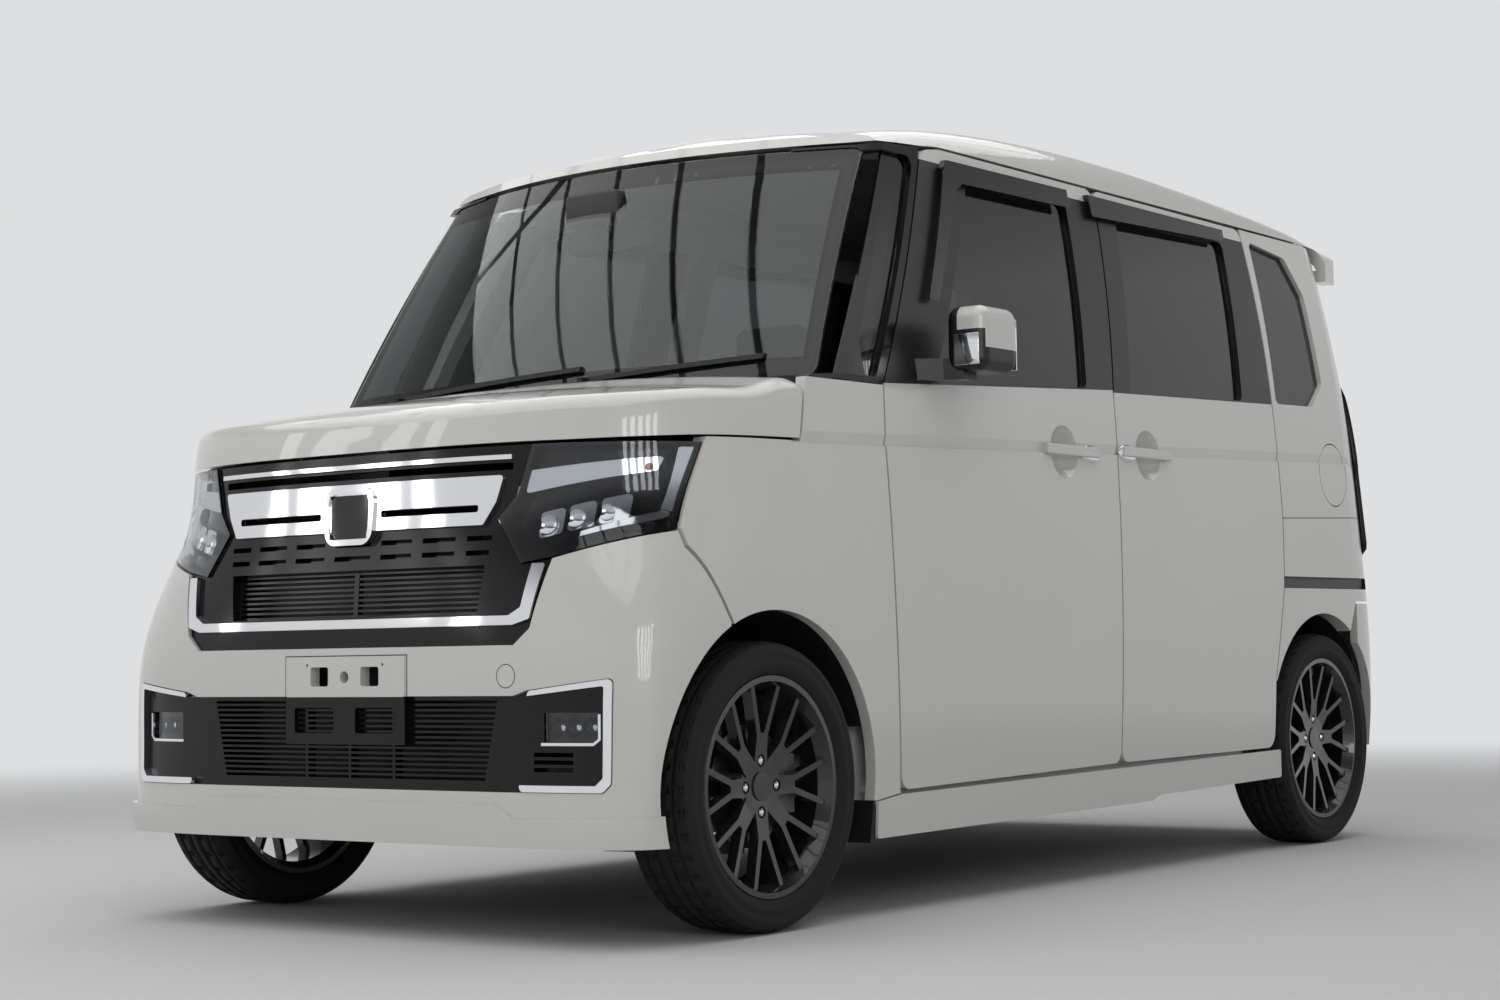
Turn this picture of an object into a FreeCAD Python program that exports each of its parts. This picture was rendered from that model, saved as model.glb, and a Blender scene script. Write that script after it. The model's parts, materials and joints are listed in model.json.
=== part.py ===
import FreeCAD, Part
import math
import os

V = FreeCAD.Vector
X = V(1, 0, 0)
Y = V(0, 1, 0)
Z = V(0, 0, 1)

# A small tall passenger car. The front is towards -Y, the car's left side is +X, the ground is z = 0.
# All sizes are millimetres.

# Overall sizes
overall_length = 3395.0
body_width = 1475.0
overall_height = 1790.0
wheelbase = 2520.0
track = 1305.0
front_overhang = 443.5
lip_reach = 8.0
nose_y = -overall_length / 2
tail_y = overall_length / 2
front_axle_y = nose_y + front_overhang
rear_axle_y = front_axle_y + wheelbase

# Gaps and walls
shut_gap = 6.0
seat_gap = 0.3
door_thickness = 55.0
frame_thickness = 34.0
panel_thickness = 24.0
bumper_thickness = 22.0
roof_thickness = 30.0
glass_depth = 12.0
glass_thickness = 4.5

# Side section
sill_z = 100.0
waist_z = 600.0
belt_z = 1100.0
sill_tuck = 16.0
belt_tuck = 18.0
upper_slope = 0.072
upper_bend = 1.58e-4
crease_depth = 5.0
crease_height = 26.0

# Roof
roof_crown = 42.0
roof_corner_x = 540.0
roof_corner_drop = 108.0
roof_edge_z = 1658.0

# Windscreen
screen_top_y = -862.0
screen_top_z = 1627.0
screen_lean = 0.52
screen_bow_top = 203.0
screen_bow_base = 118.0
screen_bulge = 14.0
screen_base_z = 1098.0
screen_trim = 42.0

# Wheels
tyre_radius = 281.5
tyre_width = 165.0
rim_radius = 208.0
bolt_circle = 100.0
wheel_z = tyre_radius
front_arch_radius = 342.0
rear_arch_radius = 337.0
disc_radius = 120.0
disc_thickness = 12.0
disc_inset = 28.0

# Lamps
lamp_back = 34.0

# Grille
fin_pitch = 10.5
fin_gap = 6.0
bar_pitch = 10.4

# Steering
ball_joint_x = 620.0
ball_joint_z = 175.0
ball_radius = 15.0
strut_top_x = 480.0
strut_top_z = 815.0
strut_radius = 21.0
engine_half = 370.0

# Doors
door_axis_x = body_width / 2 + 1.5
door_bottom_front_z = 252.0
door_bottom_rear_z = 269.0
door_front_y = -843.0
belt_front_z = 1096.0

# Door handles
handle_length = 236.0
handle_height = 25.0
handle_depth = 10.0
handle_face = 739.5
handle_dish = 87.0
handle_dish_depth = 26.0

# Floor
floor_bottom = 205.0
floor_thickness = 45.0
floor_half = 632.0


def half_width(z):
    """Half the body's width at a height."""
    if z < waist_z:
        return body_width / 2 - sill_tuck * ((waist_z - z) / (waist_z - sill_z)) ** 2
    if z < belt_z:
        return body_width / 2 - belt_tuck * ((z - waist_z) / (belt_z - waist_z)) ** 2
    rise = z - belt_z
    return body_width / 2 - belt_tuck - upper_slope * rise - upper_bend * rise ** 2


def crease_at(y):
    """Height of the shoulder crease along the car."""
    return 964.0 + 0.031 * (y - door_front_y)


def even_curve(points, count, start=None, end=None):
    """A smooth edge through points spread evenly along a dense path."""
    lengths = [0.0]
    for a, b in zip(points, points[1:]):
        lengths.append(lengths[-1] + (b - a).Length)
    picked = []
    i = 0
    for k in range(count):
        want = lengths[-1] * k / (count - 1)
        while i < len(points) - 2 and lengths[i + 1] < want:
            i += 1
        span = lengths[i + 1] - lengths[i]
        picked.append(points[i] + (points[i + 1] - points[i]) * ((want - lengths[i]) / span))
    curve = Part.BSplineCurve()
    knots = [float(k) for k in range(count)]
    if start is None:
        curve.interpolate(Points=picked, Parameters=knots)
    else:
        pace = lengths[-1] / (count - 1)
        curve.interpolate(Points=picked, Parameters=knots, InitialTangent=start * pace, FinalTangent=end * pace)
    return curve.toShape()


def rounded_end(z, half, tip_y, corner_y, squareness, count=27):
    """Rounded nose or tail outline at one height, from the right side to the left side."""
    points = [V(-half, corner_y, z)]
    for k in range(1, 480):
        a = math.pi * k / 480
        c = math.cos(a)
        x = -half * math.copysign(abs(c) ** (2 / squareness), c)
        y = corner_y + (tip_y - corner_y) * math.sin(a) ** (2 / squareness)
        points.append(V(x, y, z))
    points.append(V(half, corner_y, z))
    way = V(0, math.copysign(1, tip_y - corner_y), 0)
    return even_curve(points, count, way, way * -1)


# Nose stations: height, front face, where the corner starts, squareness of the corner
nose_stations = [
    (150, nose_y + lip_reach, -1450, 5.0),
    (300, nose_y + lip_reach, -1450, 5.0),
    (470, -1689, -1440, 4.8),
    (620, -1685, -1380, 4.2),
    (760, -1673, -1250, 3.4),
    (880, -1667, -1170, 3.1),
    (960, -1664, -1150, 3.1),
    (1060, -1640, -1150, 3.0),
    (1180, -1600, -1150, 3.0),
]


def front_face_y(x, z):
    """The nose's outer face at a place in front view."""
    for low, high in zip(nose_stations, nose_stations[1:]):
        if low[0] <= z <= high[0]:
            share = (z - low[0]) / (high[0] - low[0])
            _, tip, corner, square = [a + (b - a) * share for a, b in zip(low, high)]
            return corner + (tip - corner) * (1 - (abs(x) / half_width(z)) ** square) ** (1 / square)


# Tail stations: height, rear face, where the corner starts, squareness of the corner
tail_stations = [
    (130, 1672, 1430, 5.0),
    (380, tail_y, 1430, 5.0),
    (600, 1692, 1420, 5.0),
    (860, 1672, 1400, 4.4),
    (1100, 1664, 1390, 4.0),
    (1300, 1646, 1380, 3.8),
    (1500, 1622, 1370, 3.7),
    (1650, 1600, 1360, 3.7),
    (1800, 1570, 1350, 3.7),
]

# Roof centre line: place along the car and height
roof_line = [
    (-1000, 1600),
    (-862, 1652),
    (-700, 1706),
    (-450, 1752),
    (-100, 1781),
    (300, overall_height),
    (750, 1782),
    (1150, 1762),
    (1450, 1738),
    (1750, 1706),
]

kept = {}


def front_solid(depth):
    """The nose and front sides, set in by a depth."""
    if ("front", depth) not in kept:
        wires = []
        for z, tip, corner, square in nose_stations:
            half = half_width(z) - depth
            nose = rounded_end(z, half, tip + depth, corner + depth / 2, square)
            a = nose.Vertexes[0].Point
            b = nose.Vertexes[-1].Point
            back_b = V(b.x, -600, z)
            back_a = V(a.x, -600, z)
            sides = [Part.makeLine(b, back_b), Part.makeLine(back_b, back_a), Part.makeLine(back_a, a)]
            wires.append(Part.Wire([nose] + sides))
        kept[("front", depth)] = Part.makeLoft(wires, True, False)
    return kept[("front", depth)]


def main_solid(depth):
    """The sides and tail, set in by a depth."""
    if ("main", depth) not in kept:
        wires = []
        for z, tip, corner, square in tail_stations:
            half = half_width(z) - depth
            tail = rounded_end(z, half, tip - depth, corner - depth / 2, square)
            a = tail.Vertexes[0].Point
            b = tail.Vertexes[-1].Point
            front_b = V(b.x, -1300, z)
            front_a = V(a.x, -1300, z)
            sides = [Part.makeLine(b, front_b), Part.makeLine(front_b, front_a), Part.makeLine(front_a, a)]
            wires.append(Part.Wire([tail] + sides))
        kept[("main", depth)] = Part.makeLoft(wires, True, False)
    return kept[("main", depth)]


def roof_arch(y, top, depth):
    """One cross section of the roof: side, rounded corner, crown, and straight back underneath."""
    low = roof_edge_z - 100
    corner_z = top - roof_corner_drop
    side_x = half_width(corner_z) - depth
    points = [V(half_width(low) - depth, y, low), V(half_width((low + corner_z) / 2) - depth, y, (low + corner_z) / 2)]
    if corner_z < low + 20:
        points = [V(side_x, y, corner_z)]
    else:
        points.append(V(side_x, y, corner_z))
    shoulder = top - roof_crown - depth
    for a in (25, 50, 70):
        r = math.radians(a)
        x = roof_corner_x + (side_x - roof_corner_x) * math.cos(r)
        z = corner_z + (shoulder - corner_z) * math.sin(r)
        points.append(V(x, y, z))
    for share in (0.94, 0.7, 0.35, 0.0):
        x = roof_corner_x * share
        points.append(V(x, y, top - depth - roof_crown * share ** 2))
    mirrored = [V(-p.x, p.y, p.z) for p in points[:-1]]
    path = points + mirrored[::-1]
    arch = even_curve(path, 25)
    a = arch.Vertexes[0].Point
    b = arch.Vertexes[-1].Point
    return Part.Wire([arch, Part.makeLine(b, a)])


def roof_solid(depth):
    """The roof's volume, set in by a depth."""
    if ("roof", depth) not in kept:
        wires = [roof_arch(y, z, depth) for y, z in roof_line]
        kept[("roof", depth)] = Part.makeLoft(wires, True, False)
    return kept[("roof", depth)]


def surface(rows):
    """A smooth face through rows of points."""
    sheet = Part.BSplineSurface()
    sheet.interpolate(rows)
    return sheet.toShape()


def screen_y(x, z):
    """Windscreen's outer face."""
    share = (z - screen_base_z) / (screen_top_z - screen_base_z)
    bow = screen_bow_base + (screen_bow_top - screen_bow_base) * share
    middle = (2 * share - 1) ** 2
    lean = screen_lean * (screen_top_z - z)
    return screen_top_y - lean + bow * (x / 700) ** 2 - screen_bulge * (1 - middle)


def screen_face(depth):
    """Windscreen's face, set in by a depth along Y."""
    rows = []
    for i in range(9):
        x = -800 + 200.0 * i
        rows.append([V(x, screen_y(x, z) + depth, z) for z in (1020, 1160, 1300, 1440, 1580, 1720, 1900)])
    return surface(rows)


def behind_screen(depth):
    """All that lies behind the windscreen's face."""
    if ("screen", depth) not in kept:
        kept[("screen", depth)] = screen_face(depth * 1.13).extrude(V(0, 2600, 0))
    return kept[("screen", depth)]


def hood_z(x, y):
    """Hood's top face."""
    back = (y - nose_y) / 560.0
    rise = 88 * (1 - (1 - min(back, 1.4) * 0.62) ** 2) + 62 * (1 - math.exp(-back * 14))
    return 968 + rise - 34 * abs(x / 720) ** 2.4


def under_hood(depth):
    """All that lies below the hood's top face, set in by a depth."""
    if ("hood", depth) not in kept:
        rows = []
        for i in range(13):
            x = -780 + 130.0 * i
            ys = (-1720, -1690, -1660, -1620, -1560, -1480, -1380, -1260, -1120, -980)
            rows.append([V(x, y, hood_z(x, y) - depth) for y in ys])
        kept[("hood", depth)] = surface(rows).extrude(V(0, 0, -400))
    return kept[("hood", depth)]


def inset_outline(points, amount):
    """An outline moved inwards, or outwards when the amount is negative."""
    area = 0.0
    for (a, b), (c, d) in zip(points, points[1:] + points[:1]):
        area += a * d - b * c
    turn = 1.0 if area > 0 else -1.0
    count = len(points)
    moved = []
    for i in range(count):
        before = points[i - 1]
        here = points[i]
        after = points[(i + 1) % count]
        normals = []
        for p, q in ((before, here), (here, after)):
            dx = q[0] - p[0]
            dy = q[1] - p[1]
            length = math.hypot(dx, dy)
            normals.append((-dy / length * turn, dx / length * turn))
        (ax, ay), (bx, by) = normals
        scale = amount / (1 + ax * bx + ay * by)
        moved.append((here[0] + (ax + bx) * scale, here[1] + (ay + by) * scale))
    return moved


def rounded_wire(points, radius, place):
    """A closed outline with rounded corners. The radius is one value, or one for each corner."""
    count = len(points)
    radii = radius if isinstance(radius, (list, tuple)) else [radius] * count
    edges = []
    ends = []
    for i in range(count):
        p = V(points[i - 1][0], points[i - 1][1], 0)
        q = V(points[i][0], points[i][1], 0)
        r = V(points[(i + 1) % count][0], points[(i + 1) % count][1], 0)
        into = (p - q).normalize()
        out = (r - q).normalize()
        cos_turn = max(-1.0, min(1.0, into.dot(out)))
        half_angle = math.acos(cos_turn) / 2
        if radii[i] < 0.01 or half_angle > math.radians(89):
            ends.append((q, q, None))
            continue
        cut = radii[i] / math.tan(half_angle)
        start = q + into * cut
        end = q + out * cut
        middle_way = (into + out).normalize()
        centre = q + middle_way * (radii[i] / math.sin(half_angle))
        ends.append((start, end, centre - middle_way * radii[i]))
    for i in range(count):
        start, end, middle = ends[i]
        if middle is not None:
            edges.append(Part.Arc(place(start), place(middle), place(end)).toShape())
        following = ends[(i + 1) % count][0]
        if (following - end).Length > 1e-6:
            edges.append(Part.makeLine(place(end), place(following)))
    return Part.Wire(edges)


def side_prism(points, radius=0.0, x_low=300.0, x_high=900.0):
    """A solid from an outline in side view (y, z), between two x values."""
    wire = rounded_wire(points, radius, lambda p: V(x_low, p.x, p.y))
    return Part.Face(wire).extrude(V(x_high - x_low, 0, 0))


def front_prism(points, radius=0.0, y_low=-1900.0, y_high=-1000.0):
    """A solid from an outline in front view (x, z), between two y values."""
    wire = rounded_wire(points, radius, lambda p: V(p.x, y_low, p.y))
    return Part.Face(wire).extrude(V(0, y_high - y_low, 0))


def top_prism(points, radius=0.0, z_low=0.0, z_high=2000.0):
    """A solid from an outline in plan (x, y), between two z values."""
    wire = rounded_wire(points, radius, lambda p: V(p.x, p.y, z_low))
    return Part.Face(wire).extrude(V(0, 0, z_high - z_low))


def mirror(shape):
    """The same shape on the other side of the car."""
    return shape.mirror(V(0, 0, 0), X)


def both(shape):
    """A left and a right piece in one node."""
    return Part.makeCompound([shape, mirror(shape)])


def block(x0, x1, y0, y1, z0, z1):
    """A box between six limits."""
    return Part.makeBox(x1 - x0, y1 - y0, z1 - z0, V(x0, y0, z0))


def rod(start, end, radius):
    """A round bar from one point to another."""
    way = end - start
    return Part.makeCylinder(radius, way.Length, start, way)


def tidy(shape):
    """Merge split faces and drop slivers of volume."""
    solids = [s for s in shape.Solids if s.Volume > 500.0]
    cleaned = []
    for solid in solids:
        try:
            merged = solid.removeSplitter()
            cleaned.append(merged if merged.isValid() else solid)
        except Part.OCCError:
            cleaned.append(solid)
    return cleaned[0] if len(cleaned) == 1 else Part.makeCompound(cleaned)


def save(name, shape):
    """Write one piece."""
    shape = tidy(shape)
    if not shape.isValid():
        print("not valid:", name)
    box = shape.BoundBox
    print(f"{name}: {len(shape.Solids)} solids, {len(shape.Faces)} faces, {shape.Volume / 1e6:.2f} l,"
          f" x {box.XMin:.0f} {box.XMax:.0f} y {box.YMin:.0f} {box.YMax:.0f} z {box.ZMin:.0f} {box.ZMax:.0f}")
    shape.exportStep(f"parts/{name}.step")


def front_arch(radius, x_low=250.0):
    """The round space of a front wheel arch, on the left."""
    return Part.makeCylinder(radius, 900 - x_low, V(x_low, front_axle_y, wheel_z), X)


def rear_arch(radius, x_low=470.0):
    """The round space of a rear wheel arch, on the left."""
    return Part.makeCylinder(radius, 900 - x_low, V(x_low, rear_axle_y - 6, wheel_z), X)


def main_wall(region, outer, inner):
    """The part of the side and tail wall inside a region, between two depths."""
    return main_solid(outer).common(region).cut(main_solid(inner))


def front_wall(region, outer, inner):
    """The part of the nose wall inside a region, between two depths."""
    return front_solid(outer).common(region).cut(front_solid(inner))


def crease_cut():
    """A wedge along the left side that makes the shoulder crease."""
    wires = []
    for y in (-1180, 0, 1590):
        z = crease_at(y)
        corner = V(half_width(z) - crease_depth, y, z)
        out = V(half_width(z) + 40, y, z)
        top = V(half_width(z + crease_height) + 0.4, y, z + crease_height)
        far = V(half_width(z) + 40, y, z + crease_height)
        wires.append(Part.makePolygon([corner, out, far, top, corner]))
    return Part.makeLoft(wires, True, True)


# Door outlines in side view, from the shut lines
split_low = (120.0, door_bottom_rear_z - 3)
split_belt = (150.0, 1135.0)
split_top = (221.0, 1652.0)
door_outline = [
    (-813, door_bottom_front_z),
    (-829, 600),
    (door_front_y, 970),
    (-835, belt_front_z),
    (-548, 1640),
    (-470, 1652),
    split_top,
    split_belt,
    split_low,
]
sliding_outline = [
    (split_low[0] + shut_gap, split_low[1]),
    (split_belt[0] + shut_gap, split_belt[1]),
    (split_top[0] + shut_gap, split_top[1]),
    (1018, 1650),
    (1023, 1168),
    (1030, 874),
    (1019, 693),
    (958, 454),
    (949, door_bottom_rear_z),
]
door_window = [(-640, 1108), (25, 1148), (70, 1600), (-372, 1600)]
sliding_window = [(240, 1148), (848, 1172), (892, 1600), (312, 1600)]
corner_window = [(-1046, 1104), (-862, 1108), (-588, 1618), (-768, 1618)]
quarter_window = [(1052, 1178), (1275, 1184), (1362, 1250), (1345, 1500), (1270, 1600), (1062, 1622)]
window_radius = 18.0

door_axis_y = door_front_y - shut_gap / 2


def door_sweep():
    """Round trim about the left door's hinge, so that its rear edge swings clear."""
    profile = [V(door_axis_x, door_axis_y, 100)]
    for (y, z) in (split_low, split_belt, split_top):
        reach = math.hypot(y - door_axis_y, door_axis_x - half_width(z))
        height = 100 if z < 300 else (1800 if z > 1600 else z)
        profile.append(V(door_axis_x + reach, door_axis_y, height))
    profile.append(V(door_axis_x, door_axis_y, 1800))
    face = Part.Face(Part.makePolygon(profile + profile[:1]))
    return face.revolve(V(door_axis_x, door_axis_y, 0), Z, 360)


def door_shell(outline, window, corner):
    """A hinged or sliding door: a thick lower box and a thinner window frame."""
    lower_half = block(400, 900, -2000, 2000, 100, belt_z - 8)
    full = side_prism(outline, corner)
    skin = main_solid(0).common(full).cut(main_solid(frame_thickness))
    box = main_solid(5).common(full).cut(main_solid(door_thickness)).common(lower_half)
    door = skin.fuse(box)
    door = door.cut(side_prism(window, window_radius))
    return door.cut(crease_cut())


def with_handle(door, y, z, dish_y):
    """A door with a round dish in its skin and a pull handle across it."""
    dish_middle = V(half_width(z) + handle_dish - handle_dish_depth, dish_y, z)
    door = door.cut(Part.makeSphere(handle_dish, dish_middle))
    half = handle_length / 2
    back = handle_face - handle_depth
    grip = block(back, handle_face, y - half, y + half, z - handle_height / 2, z + handle_height / 2)
    grip = grip.makeFillet(4, grip.Edges)
    feet = [block(half_width(z) - 12, back + 4, y + k * half - 16, y + k * half + 16, z - 9, z + 9) for k in (-0.84, 0.84)]
    return door.fuse([grip] + feet)


def side_glass(outline, depth=glass_depth):
    """A pane that fills a window outline."""
    pane = main_solid(depth).common(side_prism(inset_outline(outline, seat_gap), window_radius))
    return pane.cut(main_solid(depth + glass_thickness))


os.makedirs("parts", exist_ok=True)

# Front doors, on the left and mirrored to the right
door_corner = [30, 0, 0, 0, 60, 0, 30, 0, 30]
left_door = door_shell(door_outline, door_window, door_corner).common(door_sweep())
left_door = with_handle(left_door, -76, 993, -106)
save("front_door_left", left_door)
save("front_door_right", mirror(left_door))
door_pane = side_glass(door_window)
save("front_door_left_glass", door_pane)
save("front_door_right_glass", mirror(door_pane))

# Smoked visors over the side windows
visor_outline = [(-648, 1290), (-612, 1290), (-452, 1560), (-420, 1578), (60, 1585), (64, 1630), (-470, 1626), (-492, 1600)]
rear_visor_outline = [(165, 1578), (880, 1600), (884, 1632), (168, 1632)]


def visor(outline, band):
    """A thin shell that stands off the window, with the band that fixes it to the door frame."""
    shell = main_solid(-15).common(side_prism(outline, 4)).cut(main_solid(-11.5))
    return shell.fuse(main_solid(-15).common(side_prism(band)).cut(main_solid(-seat_gap)))


front_visor = visor(visor_outline, [(-492, 1606), (60, 1612), (64, 1630), (-470, 1626)])
save("visor_left", front_visor)
save("visor_right", mirror(front_visor))
rear_visor = visor(rear_visor_outline, [(168, 1616), (884, 1620), (884, 1632), (168, 1632)])
save("sliding_visors", both(rear_visor))

# Sliding doors
sliding_corner = [30, 0, 30, 30, 0, 60, 60, 0, 40]
sliding_door = with_handle(door_shell(sliding_outline, sliding_window, sliding_corner), 285, 1004, 300)
save("sliding_doors", both(sliding_door))
save("sliding_door_glass", both(side_glass(sliding_window)))

# Front fenders
fender_outline = [
    (-1417 + 3, 954),
    (-1493 + 3, 777),
    (-1491 + 3, 744),
    (-1391 + 3, 600),
    (-1300, 300),
    (-907, 235),
    (-819, 246),
    (-835, 600),
    (door_front_y - shut_gap, 970),
    (-835 - shut_gap, 1092),
    (-1117, 1090),
    (-1146, 958),
]
fender = front_wall(side_prism(fender_outline).cut(front_arch(front_arch_radius)), 0, panel_thickness).cut(crease_cut())
save("front_fenders", both(fender))

# Hood, with its rear edge along the cowl line in plan
cowl_y = -1185.0
cowl_bow = 60.0
hood_front_z = 950.0
hood_side_z = 964.0
hood_lip_radius = 38.0


def behind_cowl(offset):
    """All that lies behind the hood's curved rear edge."""
    rim = [V(x, cowl_y + cowl_bow * (x / 700) ** 2 + offset, 900) for x in range(-800, 801, 200)]
    curve = Part.BSplineCurve()
    curve.interpolate(rim)
    return curve.toShape().extrude(V(0, 0, 400)).extrude(V(0, 900, 0))


hood_outline = [
    (-1740, hood_front_z),
    (-1600, hood_front_z),
    (-1423, 958),
    (-1152, hood_side_z),
    (-1125, 1082),
    (-1118, 1250),
    (-1740, 1250),
]
hood = front_solid(0).common(under_hood(0)).common(block(-800, 800, -1740, -1000, hood_front_z - 2, 1250))
hood_lip = [e for e in hood.Edges if e.Length > 1500 and e.BoundBox.YMin < -1600 and e.BoundBox.ZMin > 980]
hood = hood.makeFillet(hood_lip_radius, hood_lip)
hood = hood.cut(front_solid(panel_thickness).common(under_hood(18)))
hood = hood.common(side_prism(hood_outline, 0, -800, 800)).cut(behind_cowl(0))
hinge_y = -1095.0
hinge_z = 1079.0
hinge_pin = 4.0
for side in (1, -1):
    at = V(side * 620, hinge_y, hinge_z)
    lug = block(at.x - 8, at.x + 8, -1170, hinge_y, hinge_z - 8, hinge_z - 1).fuse(rod(at - X * 8, at + X * 8, 7))
    hood = hood.fuse(lug).cut(rod(at - X * 9, at + X * 9, hinge_pin + seat_gap))
save("hood", hood)

# Windscreen, held in a frame of trim
screen_side_base = half_width(screen_base_z) - screen_trim
screen_side_top = half_width(screen_top_z) - screen_trim
screen_outline = [
    (-screen_side_base, screen_base_z),
    (screen_side_base, screen_base_z),
    (screen_side_top, screen_top_z),
    (-screen_side_top, screen_top_z),
]
screen_slab = screen_face(3).extrude(V(0, 6, 0))
screen = screen_slab.common(front_prism(inset_outline(screen_outline, seat_gap), 24, -1400, -500))
save("windscreen", screen)

# Cowl panel below the windscreen
cowl = behind_cowl(shut_gap).cut(behind_screen(0)).common(block(-694, 694, -1300, -900, 1066, screen_base_z - 4.3))
for side in (1, -1):
    cowl = cowl.cut(block(side * 620 - 15, side * 620 + 15, -1180, hinge_y + 14, 1060, 1100))
    cowl = cowl.fuse(rod(V(side * 620 - 16, hinge_y, hinge_z), V(side * 620 + 16, hinge_y, hinge_z), hinge_pin))
save("cowl", cowl)

# Front pillars between the windscreen and the corner glass
pillar_outline = [(-1230, screen_base_z - 4), (-841, screen_base_z - 4), (-554, 1640), (-560, 1643), (-724, 1633), (-900, 1633)]
pillar_region = side_prism(pillar_outline, 0, 450, 900).cut(front_prism(screen_outline, 24, -1400, -500))
pillar_region = pillar_region.cut(side_prism(corner_window, window_radius))
front_pillar = main_solid(0).common(pillar_region).common(behind_screen(0))
front_pillar = front_pillar.cut(main_solid(30).common(pillar_region).common(behind_screen(30)))
save("front_pillars", both(front_pillar))

# Small side panes ahead of the doors and behind the sliding doors
corner_pane = side_glass(corner_window).common(behind_screen(14))
quarter_pane = side_glass(quarter_window)
save("corner_glass", both(corner_pane))
save("quarter_glass", both(quarter_pane))

# Body side frames around the door openings, inboard of the doors
frame_outer = door_thickness + 6
frame_inner = door_thickness + 40
frame_outline = [
    (-905, 208),
    (-905, 1060),
    (-830, 1100),
    (-560, 1622),
    (-440, 1670),
    (1290, 1670),
    (1290, 1000),
    (1050, 620),
    (910, 420),
    (880, 208),
]
front_opening = inset_outline(door_outline, 42)
rear_opening = inset_outline(sliding_outline, 42)
frame_region = side_prism(frame_outline).cut(side_prism(front_opening)).cut(side_prism(rear_opening))
frame_region = frame_region.cut(side_prism(inset_outline(quarter_window, -10)))
side_frame = main_wall(frame_region, frame_outer, frame_inner)
rail_box = side_prism([(-430, roof_edge_z + 3), (1290, roof_edge_z + 3), (1290, 1676), (-430, 1676)])
side_frame = side_frame.fuse(roof_solid(roof_thickness + seat_gap).common(rail_box).cut(roof_solid(66)))
for y, z in ((200, 320), (200, 1000), (930, 500), (1000, 1000)):
    pad = side_prism([(y - 30, z - 40), (y + 30, z - 40), (y + 30, z + 40), (y - 30, z + 40)])
    side_frame = side_frame.fuse(main_wall(pad, door_thickness + seat_gap, frame_inner))
save("side_frames", both(side_frame))

# Roof panel
roof_outline = [(-900, 1636), (-720, 1640), (-548, 1650), (-470, roof_edge_z), (1548, roof_edge_z), (1548, 1900), (-900, 1900)]
roof = roof_solid(0).cut(roof_solid(roof_thickness)).common(side_prism(roof_outline, 0, -900, 900))
roof = roof.common(behind_screen(0))
save("roof_panel", roof)

# Rear quarter panels
tail_top_z = 1560.0
bumper_top_z = 646.0
tailgate_half = 600.0
quarter_outline = [
    (955, 272),
    (964, 454),
    (1025, 693),
    (1036, 874),
    (1029, 1168),
    (1024, 1652),
    (1548, 1652),
    (1548, tail_top_z),
    (1760, tail_top_z),
    (1760, bumper_top_z + shut_gap),
    (1475, bumper_top_z + shut_gap),
    (1300, 300),
    (1000, 272),
]
lamp_outline = [(1572, 775), (1560, 1028), (1552, 1040), (1560, 1300), (1760, 1300), (1760, 775)]
fuel_lid_y = 1372.0
fuel_lid_z = 1000.0
fuel_lid_radius = 85.0
rail_slot = side_prism([(1000, 686), (1574, 686), (1574, 716), (1000, 716)], 0, 717, 900)
quarter = main_wall(side_prism(quarter_outline, 0, tailgate_half + shut_gap, 900), 0, 40)
quarter = quarter.cut(rear_arch(rear_arch_radius, tailgate_half + shut_gap))
quarter = quarter.cut(side_prism(quarter_window, window_radius)).cut(side_prism(lamp_outline))
quarter = tidy(quarter.cut(crease_cut()).cut(rail_slot))
lid_hole = Part.makeCylinder(fuel_lid_radius + 3, 120, V(640, fuel_lid_y, fuel_lid_z), X)
save("quarter_panel_left", quarter.cut(lid_hole))
flip = FreeCAD.Matrix()
flip.A11 = -1
save("quarter_panel_right", quarter.transformGeometry(flip))
lid_disc = Part.makeCylinder(fuel_lid_radius, 120, V(640, fuel_lid_y, fuel_lid_z), X)
lid = main_wall(lid_disc, 0, 14).cut(crease_cut())
save("fuel_lid", lid)
lamp = main_wall(side_prism(inset_outline(lamp_outline, seat_gap), 0, tailgate_half + shut_gap, 900), 1.5, 44)
save("tail_lamps", both(lamp))

# Tailgate with its spoiler
rear_window = [(-505, 1190), (505, 1190), (480, 1540), (-480, 1540)]
gate_top_z = 1690.0
gate_outline = [
    (-tailgate_half, bumper_top_z + shut_gap),
    (tailgate_half, bumper_top_z + shut_gap),
    (tailgate_half, gate_top_z),
    (-tailgate_half, gate_top_z),
]
gate_box = front_prism(gate_outline, [60, 60, 0, 0], 1437, 1800)
gate = main_wall(gate_box, 0, 42)
gate_cap = block(-700, 700, 1400, 1800, tail_top_z + shut_gap, 1800)
gate = gate.cut(gate_cap).fuse(gate.common(gate_cap).common(roof_solid(20)))
spoiler_plan = [(-640, 1554), (640, 1554), (626, 1655), (420, 1692), (-420, 1692), (-626, 1655)]
spoiler = roof_solid(0).cut(roof_solid(36)).common(top_prism(spoiler_plan, [0, 0, 30, 200, 200, 30], tail_top_z + shut_gap, 1900))
gate = gate.cut(block(-700, 700, 1000, 1554, 1500, 1900)).fuse(spoiler)
gate = gate.cut(front_prism(rear_window, 50, 1400, 1800))
save("tailgate", gate)
pane_box = front_prism(inset_outline(rear_window, seat_gap), 50, 1400, 1800)
rear_pane = main_wall(pane_box, glass_depth, glass_depth + glass_thickness)
save("tailgate_glass", rear_pane)

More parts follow.
